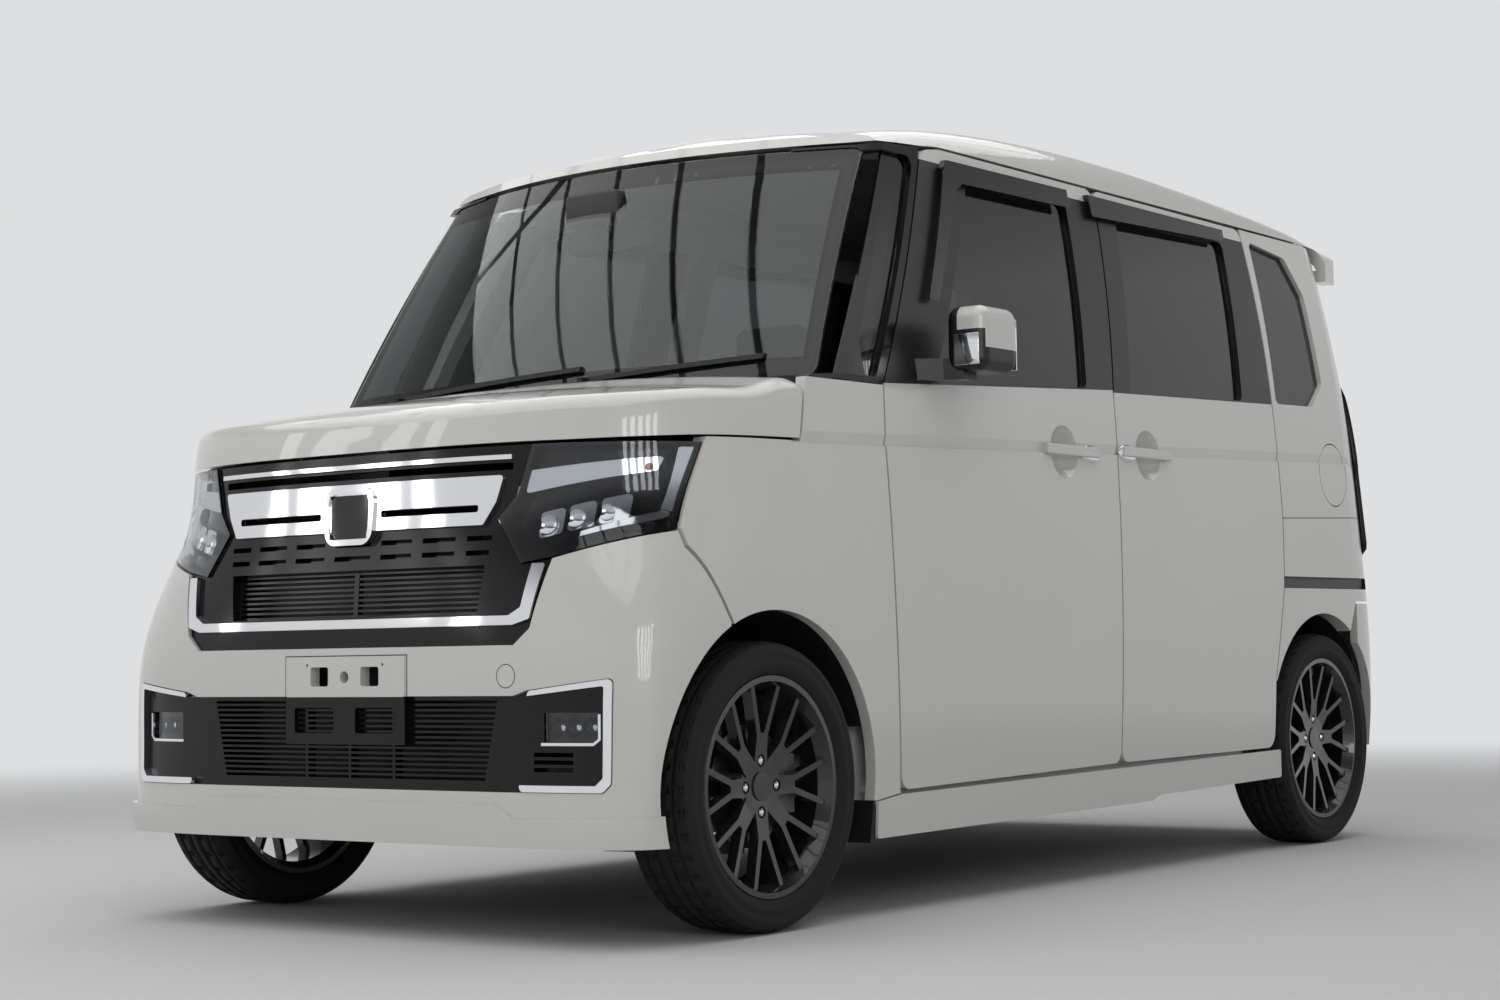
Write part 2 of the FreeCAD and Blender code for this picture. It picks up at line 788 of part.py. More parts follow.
# Rear bumper
rear_bumper_outline = [(1480, 250), (1760, 250), (1760, bumper_top_z), (1480, bumper_top_z)]
rear_bumper = main_wall(side_prism(rear_bumper_outline, 0, -900, 900), 0, bumper_thickness)
for arch in (rear_arch(rear_arch_radius), mirror(rear_arch(rear_arch_radius))):
    rear_bumper = rear_bumper.cut(arch)
save("rear_bumper", rear_bumper)

# Sills with their skirts
skirt_outline = [(-906.6, 158), (-908, 233), (-815, 244), (955, 262), (973, 262), (980, 190), (310, 180), (270, 168)]
skirt = main_solid(-6).cut(main_solid(frame_outer - seat_gap)).common(side_prism(skirt_outline, 6))
save("sills", both(skirt))

# Front bumper
plate_half = 165.0
plate_bolt_spacing = 210.0
plate_bolt_radius = 3.2
grille_half_outline = [(760, 793), (709, 777), (507, 724), (475, 594), (439, 563)]
intake_half_outline = [(438, 468), (470, 478), (655, 500), (652, 304), (636, 288)]


def mirrored_outline(half_points):
    """A symmetric front view outline from its right-hand points."""
    return half_points + [(-x, z) for x, z in half_points[::-1]]


upper_cut = mirrored_outline([(760, 1000)] + grille_half_outline)
intake_outline = mirrored_outline(intake_half_outline)
bumper_outline = [(-1740, 186), (-1480, 186), (-1400, 400), (-1397, 600), (-1497, 741), (-1499, 777), (-1499, 850), (-1740, 850)]
bumper_box = side_prism(bumper_outline, 0, -900, 900)
bumper_box = bumper_box.cut(front_prism(upper_cut)).cut(front_prism(intake_outline, 10))
for arch in (front_arch(front_arch_radius), mirror(front_arch(front_arch_radius))):
    bumper_box = bumper_box.cut(arch)
bumper = front_wall(bumper_box, 0, bumper_thickness)
lip_outline = [(-760, 186), (760, 186), (760, 246), (438, 240), (392, 266), (-392, 266), (-438, 240), (-760, 246)]
lip_box = front_prism(lip_outline).common(bumper_box)
bumper = bumper.fuse(front_wall(lip_box, -lip_reach, bumper_thickness))
plate_pad = front_wall(front_prism([(-plate_half, 467), (plate_half, 467), (plate_half, 549), (-plate_half, 549)], 5), -3, 10)
bumper = bumper.fuse(plate_pad)
for x0, x1 in ((-95, -45), (45, 95)):
    bumper = bumper.cut(front_prism([(x0, 488), (x1, 488), (x1, 526), (x0, 526)], 5))
bumper = bumper.cut(rod(V(0, -1720, 506), V(0, -1640, 506), 12))
for x in (-plate_bolt_spacing / 2, plate_bolt_spacing / 2):
    bumper = bumper.cut(rod(V(x, -1720, 530), V(x, -1600, 530), plate_bolt_radius))
save("front_bumper", bumper)

# Grille, upper and lower
upper_grille_half = [(440, 944), (412, 846), (374, 803), (435, 716), (506.4, 723.5), (474.5, 594.2), (438.8, 563.4)]
mouth = front_prism(mirrored_outline([(412, 712), (352, 716), (340, 622)]) [1:-1])
slat_gaps = [block(-358, 358, -1900, -1000, 735, 745), block(-362, 362, -1900, -1000, 763, 773), block(-400, 400, -1900, -1000, 897, 911)]
lugs = [block(x - 14, x + 14, -1900, -1000, 730, 780) for x in (-288, -176, -64, 64, 176, 288)]
gap_tool = slat_gaps[0].fuse(slat_gaps[1]).cut(Part.makeCompound(lugs))
grille_region = front_prism(mirrored_outline(upper_grille_half)).cut(mouth).cut(gap_tool).cut(slat_gaps[2])
grille_region = grille_region.cut(block(-330, -86, -1900, -1000, 819, 831)).cut(block(86, 330, -1900, -1000, 819, 831))
upper_grille = front_wall(grille_region, 8, 34)
fin_slots = [block(-338, 338, -1900, -1000, 628 + fin_pitch * k, 628 + fin_pitch * k + fin_gap) for k in range(8)]
fins = front_wall(mouth.cut(Part.makeCompound(fin_slots)), 27, 34)
posts = front_wall(block(-6, 6, -1900, -1000, 612, 720), 26, 40)
backing_bars = front_wall(block(-372, 372, -1900, -1000, 728, 750).fuse(block(-372, 372, -1900, -1000, 757, 779)), 30, 42)
upper_grille = upper_grille.fuse([fins, posts, backing_bars])
intake_region = front_prism(inset_outline(intake_outline, seat_gap), 10)
bar_count = 15
slots = []
for k in range(bar_count):
    z = 308 + bar_pitch * k
    reach = 360 + 2.2 * k
    for x0, x1 in ((-reach, -124), (-118, -3), (3, 118), (124, reach)):
        slots.append(block(x0, x1, -1900, -1000, z, z + bar_pitch - 4.5))
intake_region = intake_region.cut(Part.makeCompound(slots))
for side in (1, -1):
    lamp_hole = block(min(side * 502, side * 618), max(side * 502, side * 618), -1900, -1000, 381, 436)
    intake_region = intake_region.cut(lamp_hole)
for k in range(3):
    intake_region = intake_region.cut(block(478, 566, -1900, -1000, 326 + 14 * k, 334 + 14 * k))
lower_grille = front_wall(intake_region, 12, 34)
brackets = front_wall(block(-plate_half, plate_half, -1900, -1000, 374, 466.6), -3, 6)
for x0, x1 in ((-140, -30), (30, 140)):
    brackets = brackets.cut(front_prism([(x0, 396), (x1, 396), (x1, 446), (x0, 446)], 6))
bracket_back = front_wall(block(-20, 20, -1900, -1000, 380, 460), 6, 12.5)
lower_grille = lower_grille.fuse(brackets.fuse(bracket_back))
badge = front_prism([(-52, 776), (52, 776), (58, 868), (-58, 868)], 22)
save("grille", Part.makeCompound([upper_grille, lower_grille]))

# Headlamps
headlamp_front = [(440.6, 944), (412.6, 846), (375.0, 803), (435.8, 716.6), (507, 728), (709, 781), (760, 797), (760, 950)]
headlamp_side = [(-1740, 600), (-1499, 600), (-1496, 777), (-1420, 944), (-1740, 944)]
headlamp_region = front_prism(headlamp_front).common(side_prism(headlamp_side))
headlamp_inner = front_prism([(447, 938), (419.5, 845), (384, 803), (438.5, 723.5), (506, 734.5), (704, 786), (754, 802), (754, 938)])
headlamp_inner = headlamp_inner.common(side_prism([(-1740, 606), (-1506, 606), (-1502, 777), (-1428, 938), (-1740, 938)]))
lens = front_wall(headlamp_region, 2, 7)
fog_low = 381.3
fog_high = 435.7
fog_box = block(502.3, 617.7, -1900, -1000, fog_low, fog_high)
fog_lens = front_wall(fog_box, 18, 22)
save("headlamps", Part.makeCompound([lens, mirror(lens), fog_lens, mirror(fog_lens)]))
housing = front_wall(headlamp_region, 7.3, 60).cut(front_wall(headlamp_inner, 6, lamp_back))
fog_housing = front_wall(fog_box, 22.3, 44)
for x in (524, 560, 596):
    fog_housing = fog_housing.cut(Part.makeSphere(19, V(x, front_face_y(x, 408) + 20, 408)))
save("lamp_housings", Part.makeCompound([housing, mirror(housing), fog_housing, mirror(fog_housing)]))
blade = front_wall(front_prism([(424, 850), (640, 888), (648, 916), (432, 894)], 5), 14, lamp_back - seat_gap)
arc = front_wall(front_prism([(655, 812), (676, 808), (700, 934), (664, 934)], 4), 11, lamp_back - seat_gap)
strip = front_wall(front_prism([(540, 765), (655, 795), (674, 806), (655, 811), (540, 774)]), 15, lamp_back - seat_gap)
reflectors = [blade.common(headlamp_inner), arc.fuse(strip).common(headlamp_inner)]
for x in (478, 532, 586):
    low = 762 + 0.22 * (x - 478)
    unit = front_wall(front_prism([(x - 23, low), (x + 23, low + 10), (x + 23, low + 60), (x - 23, low + 50)], 8), 20, lamp_back - seat_gap)
    pocket = Part.makeSphere(30, V(x, front_face_y(x, low + 30) + 4, low + 30))
    reflectors.append(unit.cut(pocket))
save("lamp_reflectors", Part.makeCompound(reflectors + [mirror(piece) for piece in reflectors]))

# Bright trim: bar, top strip, U and the two side frames
badge_ring = front_prism([(-64, 766), (64, 766), (71, 880), (-71, 880)], 30)
bar_outline = mirrored_outline([(388, 887), (372, 836), (345, 793)])
bright_bar = front_wall(front_prism(bar_outline, 6), -2, 7.3)
for x0, x1 in ((-332, -84), (84, 332)):
    bright_bar = bright_bar.cut(front_prism([(x0, 818), (x1, 818), (x1, 832), (x0, 832)], 5))
bright_bar = bright_bar.fuse(front_wall(badge_ring, -8, 7.3))
bright_bar = bright_bar.cut(front_wall(badge, -12, -4))
top_strip = front_wall(block(-404, 404, -1900, -1000, 917, 926), -2, 7.3)
u_piece = mirrored_outline([(495, 716), (474, 612), (436, 601)])
u_inner = mirrored_outline([(470, 730), (452, 634), (425, 619)])
u_shape = front_wall(front_prism(u_piece, 4).cut(front_prism(u_inner, 4)), -2, 7.3)
frame_out = [(474, 478), (655, 500), (652, 304), (636, 288), (452, 288)]
frame_in = [(440, 464), (638, 485), (636, 316), (622, 302), (430, 302)]
c_region = front_prism(inset_outline(frame_out, 1.3), 9).cut(front_prism(frame_in, 4))
c_shape = front_wall(c_region, -2, 11.2)
save("front_trim", Part.makeCompound([bright_bar, top_strip, u_shape, c_shape, mirror(c_shape)]))

# Mirrors on the front doors
mirror_head = block(762, 862, -668, -520, 1128, 1268)
mirror_head = mirror_head.makeFillet(28, mirror_head.Edges)
mirror_foot = top_prism([(680, -742), (760, -668), (800, -650), (800, -600), (690, -655)], 0, 1112, 1158)
mirror_left = mirror_head.fuse(mirror_foot).cut(main_solid(-0.3))
save("mirror_left", mirror_left)
save("mirror_right", mirror(mirror_left))

# Floor, bulkhead and arch liners
arch_wall = 6.0
liner_in = front_arch_radius + 3
rear_in = rear_arch_radius + 4
floor_kick_y = 820.0
rear_floor_z = 395.0
floor_side = [
    (-905, floor_bottom),
    (floor_kick_y, floor_bottom),
    (floor_kick_y + 60, rear_floor_z),
    (1690, rear_floor_z),
    (1690, rear_floor_z + floor_thickness),
    (floor_kick_y + 35, rear_floor_z + floor_thickness),
    (floor_kick_y - 25, floor_bottom + floor_thickness),
    (-905, floor_bottom + floor_thickness),
]
floor = side_prism(floor_side, 0, -floor_half, floor_half).common(main_solid(bumper_thickness + seat_gap))
floor_arch = rear_arch(rear_in + arch_wall + seat_gap, 548 - seat_gap)
floor = floor.cut(floor_arch).cut(mirror(floor_arch))
save("floor_pan", floor)
bulkhead_y = -905.3
wall = block(-floor_half, floor_half, -925, bulkhead_y, floor_bottom, 1040)
shelf = block(-floor_half, floor_half, -1130, bulkhead_y, 1040, 1066 - seat_gap)
save("bulkhead", wall.fuse(shelf))
strut_low = V(ball_joint_x, front_axle_y, ball_joint_z)
strut_way = (V(strut_top_x, front_axle_y, strut_top_z) - strut_low).normalize()
front_liner = front_arch(liner_in + arch_wall, 425).cut(front_arch(liner_in, 420))
front_liner = front_liner.common(front_solid(panel_thickness + seat_gap)).common(block(300, 900, -1600, -925.3, 330, 900))
front_liner = front_liner.cut(Part.makeCylinder(75, 900, strut_low, strut_way))
rear_liner = rear_arch(rear_in + arch_wall, 548).cut(rear_arch(rear_in, 548 + arch_wall))
rear_liner = rear_liner.common(main_solid(40 + seat_gap)).common(block(300, 900, 800, 1700, 205, 900))
rear_liner = rear_liner.cut(block(500, 548 + arch_wall, 800, 1700, 200, 345)).cut(block(666, 900, 800, 1040, 200, 900))
flap = main_solid(0).cut(main_solid(60)).common(side_prism([(-926, 150), (-907, 150), (-908.5, 226), (-917, 236)]))
save("arch_liners", Part.makeCompound([front_liner, mirror(front_liner), rear_liner, mirror(rear_liner), flap, mirror(flap)]))

# Front rails, crash beam and strut towers
rail_in = engine_half + 8
rail = block(rail_in, rail_in + 24, -1606, -925.3, 470, 600)
apron = block(rail_in, rail_in + 12, -1420, -1090, 600, strut_top_z + 22)
tower = block(rail_in, 566, -1340, -1168, strut_top_z + 10, strut_top_z + 22)
rails = rail.fuse(apron).fuse(tower)
beam = block(-560, 560, -1634, -1606, 500, 570)
can = block(300, 380, -1720, -1634, 505, 555).common(front_solid(bumper_thickness + seat_gap))
rails = rails.fuse(can)
save("front_rails", rails.fuse(mirror(rails)).fuse(beam))

# Engine and radiator
engine = block(-engine_half + 10, engine_half - 10, -1540, -985, 260, 820)
for x0 in (engine_half - 12, -engine_half - 7.7):
    engine = engine.fuse(block(x0, x0 + 19.7, -1300, -1220, 520, 580))
save("engine_block", engine)
radiator = block(-330, 330, -1605.7, -1575, 280, 760)
save("radiator", radiator)

# Front subframe with its lower arms
crossmember = block(-352, 352, -1310, -1180, 150, 205)
arm_plan = [(350, -1320), (350, -1150), (600, -1230), (640, -1254), (600, -1278)]
arm = top_prism(arm_plan, [0, 0, 30, 12, 30], 150, 166)
legs = [block(s * 300 - 30, s * 300 + 30, -1240, -925.3, 180, 230) for s in (-1, 1)]
cup = Part.makeCylinder(ball_radius + 10, 31, V(ball_joint_x, front_axle_y, 150))
cup = cup.cut(Part.makeSphere(ball_radius + seat_gap, strut_low)).cut(Part.makeCylinder(14, 40, strut_low, strut_way))
arm = arm.cut(Part.makeSphere(ball_radius + seat_gap, strut_low)).fuse(cup)
subframe = crossmember.fuse(arm).fuse(mirror(arm))
for leg in legs:
    subframe = subframe.fuse(leg)
save("front_subframe", subframe)

# Knuckles with struts and calipers, on an inclined steering axis
steer_low = V(ball_joint_x, front_axle_y, ball_joint_z)
steer_top = V(strut_top_x, front_axle_y, strut_top_z)
steer_way = (steer_top - steer_low).normalize()
hub_face_x = 690.0
disc_x = hub_face_x - disc_inset - disc_thickness
carrier_x = 600.0
spindle_radius = 15.0


def on_axis(z):
    """The point of the left steering axis at a height."""
    return steer_low + steer_way * ((z - ball_joint_z) / steer_way.z)


carrier = Part.makeCylinder(48, 34, V(carrier_x, front_axle_y, wheel_z), X)
upright = Part.makeSphere(ball_radius, steer_low).fuse(rod(steer_low, on_axis(250), 8)).fuse(rod(on_axis(194), on_axis(250), 20)).fuse(block(592, 618, front_axle_y - 30, front_axle_y + 30, 192, 350))
strut = rod(on_axis(330), on_axis(strut_top_z), strut_radius)
spring = rod(on_axis(640), on_axis(790), 56).cut(rod(on_axis(652), on_axis(778), 46))
foot = block(540, 600, front_axle_y - 22, front_axle_y + 22, 320, 372)
steer_arm = block(570, 600, front_axle_y, front_axle_y + 120, 225, 245)
caliper = block(disc_x - 16, disc_x + disc_thickness + 10, front_axle_y + 76, front_axle_y + 140, wheel_z - 58, wheel_z + 58)
caliper = caliper.cut(Part.makeCylinder(disc_radius + 6, disc_thickness + 12, V(disc_x - 6, front_axle_y, wheel_z), X))
bracket = block(carrier_x, disc_x - 10, front_axle_y + 30, front_axle_y + 120, wheel_z - 30, wheel_z + 30)
knuckle = carrier.fuse(upright).fuse(strut).fuse(spring).fuse(foot).fuse(steer_arm).fuse(caliper).fuse(bracket)
knuckle = knuckle.cut(Part.makeCylinder(spindle_radius + 0.3, 60, V(carrier_x - 12, front_axle_y, wheel_z), X))
save("knuckle_left", knuckle)
save("knuckle_right", mirror(knuckle))

# Rear axle: a twist beam with trailing arms, dampers and backing plates
beam_tube = rod(V(-540, 1170, 262), V(540, 1170, 262), 34)
axle = beam_tube
for side in (1, -1):
    trailing = block(min(side * 503, side * 545), max(side * 503, side * 545), 900, 1300, 245, 300)
    bush = block(min(side * 503, side * 545), max(side * 503, side * 545), 900, 960, 245, rear_floor_z - seat_gap)
    stub = rod(V(side * 540, rear_axle_y, wheel_z), V(side * 634, rear_axle_y, wheel_z), 40)
    plate = rod(V(side * 628, rear_axle_y, wheel_z), V(side * 634, rear_axle_y, wheel_z), 112)
    damper = rod(V(side * 515, rear_axle_y + 25, 290), V(side * 515, rear_axle_y + 25, rear_floor_z - seat_gap), 20)
    trailing = trailing.fuse(bush)
    axle = axle.fuse(trailing).fuse(stub).fuse(plate).fuse(damper)
    axle = axle.cut(rod(V(side * 588, rear_axle_y, wheel_z), V(side * 640, rear_axle_y, wheel_z), spindle_radius + 0.3))
save("rear_axle", axle)

# Fuel tank and exhaust under the floor
tank = block(-330, 330, -250, 380, 160, floor_bottom - seat_gap)
tank = tank.makeFillet(18, [e for e in tank.Edges if e.BoundBox.ZMax < 161])
save("fuel_tank", tank)
pipe = rod(V(390, -880, 178), V(390, 800, 178), 22)
for y in (-700, 0, 700):
    pipe = pipe.fuse(block(384, 396, y - 15, y + 15, 195, floor_bottom - seat_gap))
save("exhaust", pipe)

# Tyres and rims
tyre_profile = [
    (rim_radius + 1, 62.7),
    (rim_radius + 7.3, 63.5),
    (rim_radius + 14, 76),
    (rim_radius + 32, 82.5),
    (tyre_radius - 16, 80),
    (tyre_radius - 5, 69),
    (tyre_radius, 52),
]


def wheel_turn(points, centre):
    """Turn a closed (radius, offset) outline round the wheel's axle."""
    ring = [V(centre.x + x, centre.y, centre.z + r) for r, x in points]
    return Part.Face(Part.makePolygon(ring + ring[:1])).revolve(centre, X, 360)


def tyre_at(centre):
    """A tyre."""
    outline = tyre_profile + [(r, -x) for r, x in tyre_profile[::-1]]
    return wheel_turn(outline, centre)


spoke_count = 8
spoke_fork = 104.0
spoke_spread = 43.0


def spoke_outline(points):
    """A flat piece of a spoke from its outline (across, up), drawn at the wheel's centre."""
    wire = Part.makePolygon([V(0, a, r) for a, r in points + points[:1]])
    return Part.Face(wire).extrude(V(90, 0, 0))


def left_rim():
    """A left wheel's rim with forked spokes, hub, brake disc and spindle, centred on the origin."""
    barrel = [
        (rim_radius + 7, 70),
        (rim_radius + 7, 64),
        (rim_radius + 0.6, 63),
        (rim_radius - 12, 40),
        (rim_radius - 12, -50),
        (rim_radius + 0.6, -63),
        (rim_radius + 7, -64),
        (rim_radius + 7, -70),
        (rim_radius - 4, -70),
        (rim_radius - 18, -52),
        (rim_radius - 18, 42),
        (rim_radius - 4, 70),
    ]
    centre = V(0, 0, 0)
    rim = wheel_turn(barrel, centre)
    dish = wheel_turn([(0, 18), (60, 20), (rim_radius - 10, 34), (rim_radius - 10, 57), (60, 43), (0, 41)], centre)
    tip = rim_radius - 12
    trunk = spoke_outline([(-21, 20), (21, 20), (17, spoke_fork), (-17, spoke_fork)])
    arm = spoke_outline([(1, spoke_fork - 14), (17, spoke_fork - 6), (spoke_spread + 6, tip), (spoke_spread - 6, tip)])
    spoke = trunk.fuse([arm, arm.mirror(V(0, 0, 0), Y)])
    spokes = []
    for k in range(spoke_count):
        piece = spoke.copy()
        piece.rotate(centre, X, 360 * k / spoke_count)
        spokes.append(piece)
    wheel_face = spokes[0].fuse(spokes[1:]).common(dish)
    hub = rod(X, X * 40, 62)
    for a in range(0, 360, 90):
        nut_hole = rod(V(31, 0, bolt_circle / 2), V(60, 0, bolt_circle / 2), 12)
        nut_hole.rotate(centre, X, a)
        hub = hub.cut(nut_hole)
        wheel_face = wheel_face.cut(nut_hole)
    hub = hub.fuse(rod(X * 38, X * 45, 28))
    spindle = rod(X * -50, X * 2, spindle_radius)
    disc_back = disc_x - track / 2
    brake = rod(X * disc_back, X * (disc_back + disc_thickness), disc_radius)
    return rim.fuse([wheel_face, hub, spindle, brake])


def placed(shape, turned, middle):
    """A copy of a left wheel's piece, turned round for the right side and moved to its place."""
    piece = shape.copy()
    if turned:
        piece.rotate(V(0, 0, 0), Z, 180)
    piece.translate(middle)
    return piece


corners = {
    "front_left": (1, front_axle_y),
    "front_right": (-1, front_axle_y),
    "rear_left": (1, rear_axle_y),
    "rear_right": (-1, rear_axle_y),
}
rim = tidy(left_rim())
for corner, (side, y) in corners.items():
    hub_middle = V(side * track / 2, y, wheel_z)
    save("tyre_" + corner, tyre_at(hub_middle))
    save("rim_" + corner, placed(rim, side < 0, hub_middle))

# Dashboard, seats and steering wheel
dash = side_prism([(-905, 700), (-905, 1035), (-700, 1040), (-560, 985), (-560, 900), (-690, 700)], 30, -600, 600)
seat_side = [(-330, 330), (-330, 560), (-300, 590), (100, 575), (215, 1180), (330, 1170), (215, 560), (170, 330)]
seat_centre_x = 315.0
seat_half = 255.0
front_seat = side_prism([(y - 90, z + 60) for y, z in seat_side], 30, seat_centre_x - seat_half, seat_centre_x + seat_half)
seat_base = block(seat_centre_x - 200, seat_centre_x + 200, -340, 40, floor_bottom + floor_thickness + seat_gap, 420)
front_seat = front_seat.fuse(seat_base)
headrest = block(seat_centre_x - 120, seat_centre_x + 120, 140, 230, 1236, 1400)
headrest = headrest.makeFillet(30, headrest.Edges)
save("front_seats", both(front_seat.fuse(headrest)))
bench_side = [
    (460, 420),
    (460, 590),
    (490, 620),
    (860, 600),
    (985, 1130),
    (1100, 1120),
    (1000, 560),
    (960, 441),
    (880, 441),
    (760, 460),
]
bench = side_prism(bench_side, 12, -540, 540).fuse(block(-500, 500, 500, 720, floor_bottom + floor_thickness + seat_gap, 480))
save("rear_seat", bench)
wheel_middle = V(-seat_centre_x, -455, 985)
column_way = V(0, math.cos(math.radians(28)), math.sin(math.radians(28)))
steering_ring = Part.makeTorus(178, 14, wheel_middle, column_way)
steering_hub = rod(wheel_middle - column_way * 40, wheel_middle + column_way * 2, 55)
steering = steering_ring.fuse(steering_hub)
spoke_bar = Part.makeBox(340, 24, 16, V(-170, -12, -8))
turn = FreeCAD.Rotation(Z, column_way)
spoke_bar.Placement = FreeCAD.Placement(wheel_middle, turn)
steering = steering.fuse(spoke_bar).fuse(rod(wheel_middle - column_way * 118, wheel_middle - column_way * 30, 20))
shroud = rod(wheel_middle - column_way * 200, wheel_middle - column_way * 66, 45)
dash = dash.fuse(shroud).cut(rod(wheel_middle - column_way * 120, wheel_middle - column_way * 60, 20 + seat_gap))
save("dashboard", dash)
save("steering_wheel", steering)

# Wipers on the windscreen's lower edge
wipers = []
for start_x, end_x in ((-430, 130), (150, 560)):
    blade = front_prism([(start_x, 1119), (end_x, 1145), (end_x, 1156), (start_x, 1130)])
    blade = screen_face(-7.5).extrude(V(0, 10, 0)).common(blade)
    glass_y = screen_y(start_x, screen_base_z)
    foot_x = start_x + 14
    foot = block(start_x, foot_x, glass_y - 44, glass_y - 6, screen_base_z - 4, 1116)
    neck = block(start_x, foot_x, glass_y - 20, glass_y + 3, 1113, 1127)
    wipers.append(blade.fuse([foot, neck]))
save("wipers", Part.makeCompound(wipers))
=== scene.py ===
import json
import math
import bmesh
import bpy
from mathutils import Matrix, Vector
from mathutils.bvhtree import BVHTree


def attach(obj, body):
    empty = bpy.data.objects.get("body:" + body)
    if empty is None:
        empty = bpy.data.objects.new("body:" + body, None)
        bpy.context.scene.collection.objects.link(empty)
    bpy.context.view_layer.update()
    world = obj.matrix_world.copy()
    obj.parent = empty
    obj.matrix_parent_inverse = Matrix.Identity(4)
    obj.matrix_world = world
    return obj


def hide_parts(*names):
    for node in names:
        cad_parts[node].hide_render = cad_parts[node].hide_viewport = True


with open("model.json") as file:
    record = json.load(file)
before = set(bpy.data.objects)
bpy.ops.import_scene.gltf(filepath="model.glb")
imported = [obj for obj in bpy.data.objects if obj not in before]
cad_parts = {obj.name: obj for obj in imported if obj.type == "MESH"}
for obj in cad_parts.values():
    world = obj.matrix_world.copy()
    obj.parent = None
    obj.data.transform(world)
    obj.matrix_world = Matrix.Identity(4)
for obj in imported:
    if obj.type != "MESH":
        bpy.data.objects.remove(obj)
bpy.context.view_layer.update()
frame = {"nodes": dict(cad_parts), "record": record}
print("frame loaded")

# What all finishes share: tone drift between two near colours, fine grain, clear coat
surface = dict(toneDepth=0.93, toneScale=2.5, glassDepth=0.96, glassScale=1.2, driftDetail=5.0,
               grainDetail=3.0, broadScale=3.0, broadDetail=4.0, roughSpread=0.12, grainDepth=0.0004,
               coatRoughness=0.03)


# Shader node groups that several finishes share
def groupSocket(group, name, kind, way, value=None):
    socket = group.interface.new_socket(name=name, in_out=way, socket_type=kind)
    if value is not None:
        socket.default_value = value


def makeGrainGroup():
    # fine height and slow roughness changes, from smooth paint to rough castings
    group = bpy.data.node_groups.new("fineGrain", "ShaderNodeTree")
    groupSocket(group, "Scale", "NodeSocketFloat", "INPUT", 900.0)
    groupSocket(group, "Low Roughness", "NodeSocketFloat", "INPUT", 0.4)
    groupSocket(group, "High Roughness", "NodeSocketFloat", "INPUT", 0.6)
    groupSocket(group, "Height", "NodeSocketFloat", "OUTPUT")
    groupSocket(group, "Roughness", "NodeSocketFloat", "OUTPUT")
    nodes, links = group.nodes, group.links
    inside = nodes.new("NodeGroupInput")
    outside = nodes.new("NodeGroupOutput")
    coords = nodes.new("ShaderNodeTexCoord")
    fine = nodes.new("ShaderNodeTexNoise")
    fine.inputs["Detail"].default_value = surface["grainDetail"]
    broad = nodes.new("ShaderNodeTexNoise")
    broad.inputs["Scale"].default_value = surface["broadScale"]
    broad.inputs["Detail"].default_value = surface["broadDetail"]
    spread = nodes.new("ShaderNodeMapRange")
    links.new(coords.outputs["Object"], fine.inputs["Vector"])
    links.new(coords.outputs["Object"], broad.inputs["Vector"])
    links.new(inside.outputs["Scale"], fine.inputs["Scale"])
    links.new(broad.outputs["Fac"], spread.inputs["Value"])
    links.new(inside.outputs["Low Roughness"], spread.inputs["To Min"])
    links.new(inside.outputs["High Roughness"], spread.inputs["To Max"])
    links.new(fine.outputs["Fac"], outside.inputs["Height"])
    links.new(spread.outputs["Result"], outside.inputs["Roughness"])
    return group


def makeToneGroup():
    # slow drift between two near colours, so that no finish is one flat tone
    group = bpy.data.node_groups.new("toneDrift", "ShaderNodeTree")
    groupSocket(group, "Scale", "NodeSocketFloat", "INPUT", 4.0)
    groupSocket(group, "Base", "NodeSocketColor", "INPUT", (0.5, 0.5, 0.5, 1))
    groupSocket(group, "Shade", "NodeSocketColor", "INPUT", (0.45, 0.45, 0.45, 1))
    groupSocket(group, "Color", "NodeSocketColor", "OUTPUT")
    nodes, links = group.nodes, group.links
    inside = nodes.new("NodeGroupInput")
    outside = nodes.new("NodeGroupOutput")
    coords = nodes.new("ShaderNodeTexCoord")
    drift = nodes.new("ShaderNodeTexNoise")
    drift.inputs["Detail"].default_value = surface["driftDetail"]
    mix = nodes.new("ShaderNodeMix")
    mix.data_type = "RGBA"
    links.new(coords.outputs["Object"], drift.inputs["Vector"])
    links.new(inside.outputs["Scale"], drift.inputs["Scale"])
    links.new(drift.outputs["Fac"], mix.inputs["Factor"])
    links.new(inside.outputs["Base"], mix.inputs["A"])
    links.new(inside.outputs["Shade"], mix.inputs["B"])
    links.new(mix.outputs["Result"], outside.inputs["Color"])
    return group


fineGrain = makeGrainGroup()
toneDrift = makeToneGroup()


def newFinish(name):
    material = bpy.data.materials.new(name)
    material.use_nodes = True
    return material, material.node_tree, material.node_tree.nodes["Principled BSDF"]


def shade(colour, factor=1.0):
    return (colour[0] * factor, colour[1] * factor, colour[2] * factor, 1)


def toneOf(tree, colour, depth, scale):
    tone = tree.nodes.new("ShaderNodeGroup")
    tone.node_tree = toneDrift
    tone.inputs["Scale"].default_value = scale
    tone.inputs["Base"].default_value = shade(colour)
    tone.inputs["Shade"].default_value = shade(colour, depth)
    return tone.outputs["Color"]


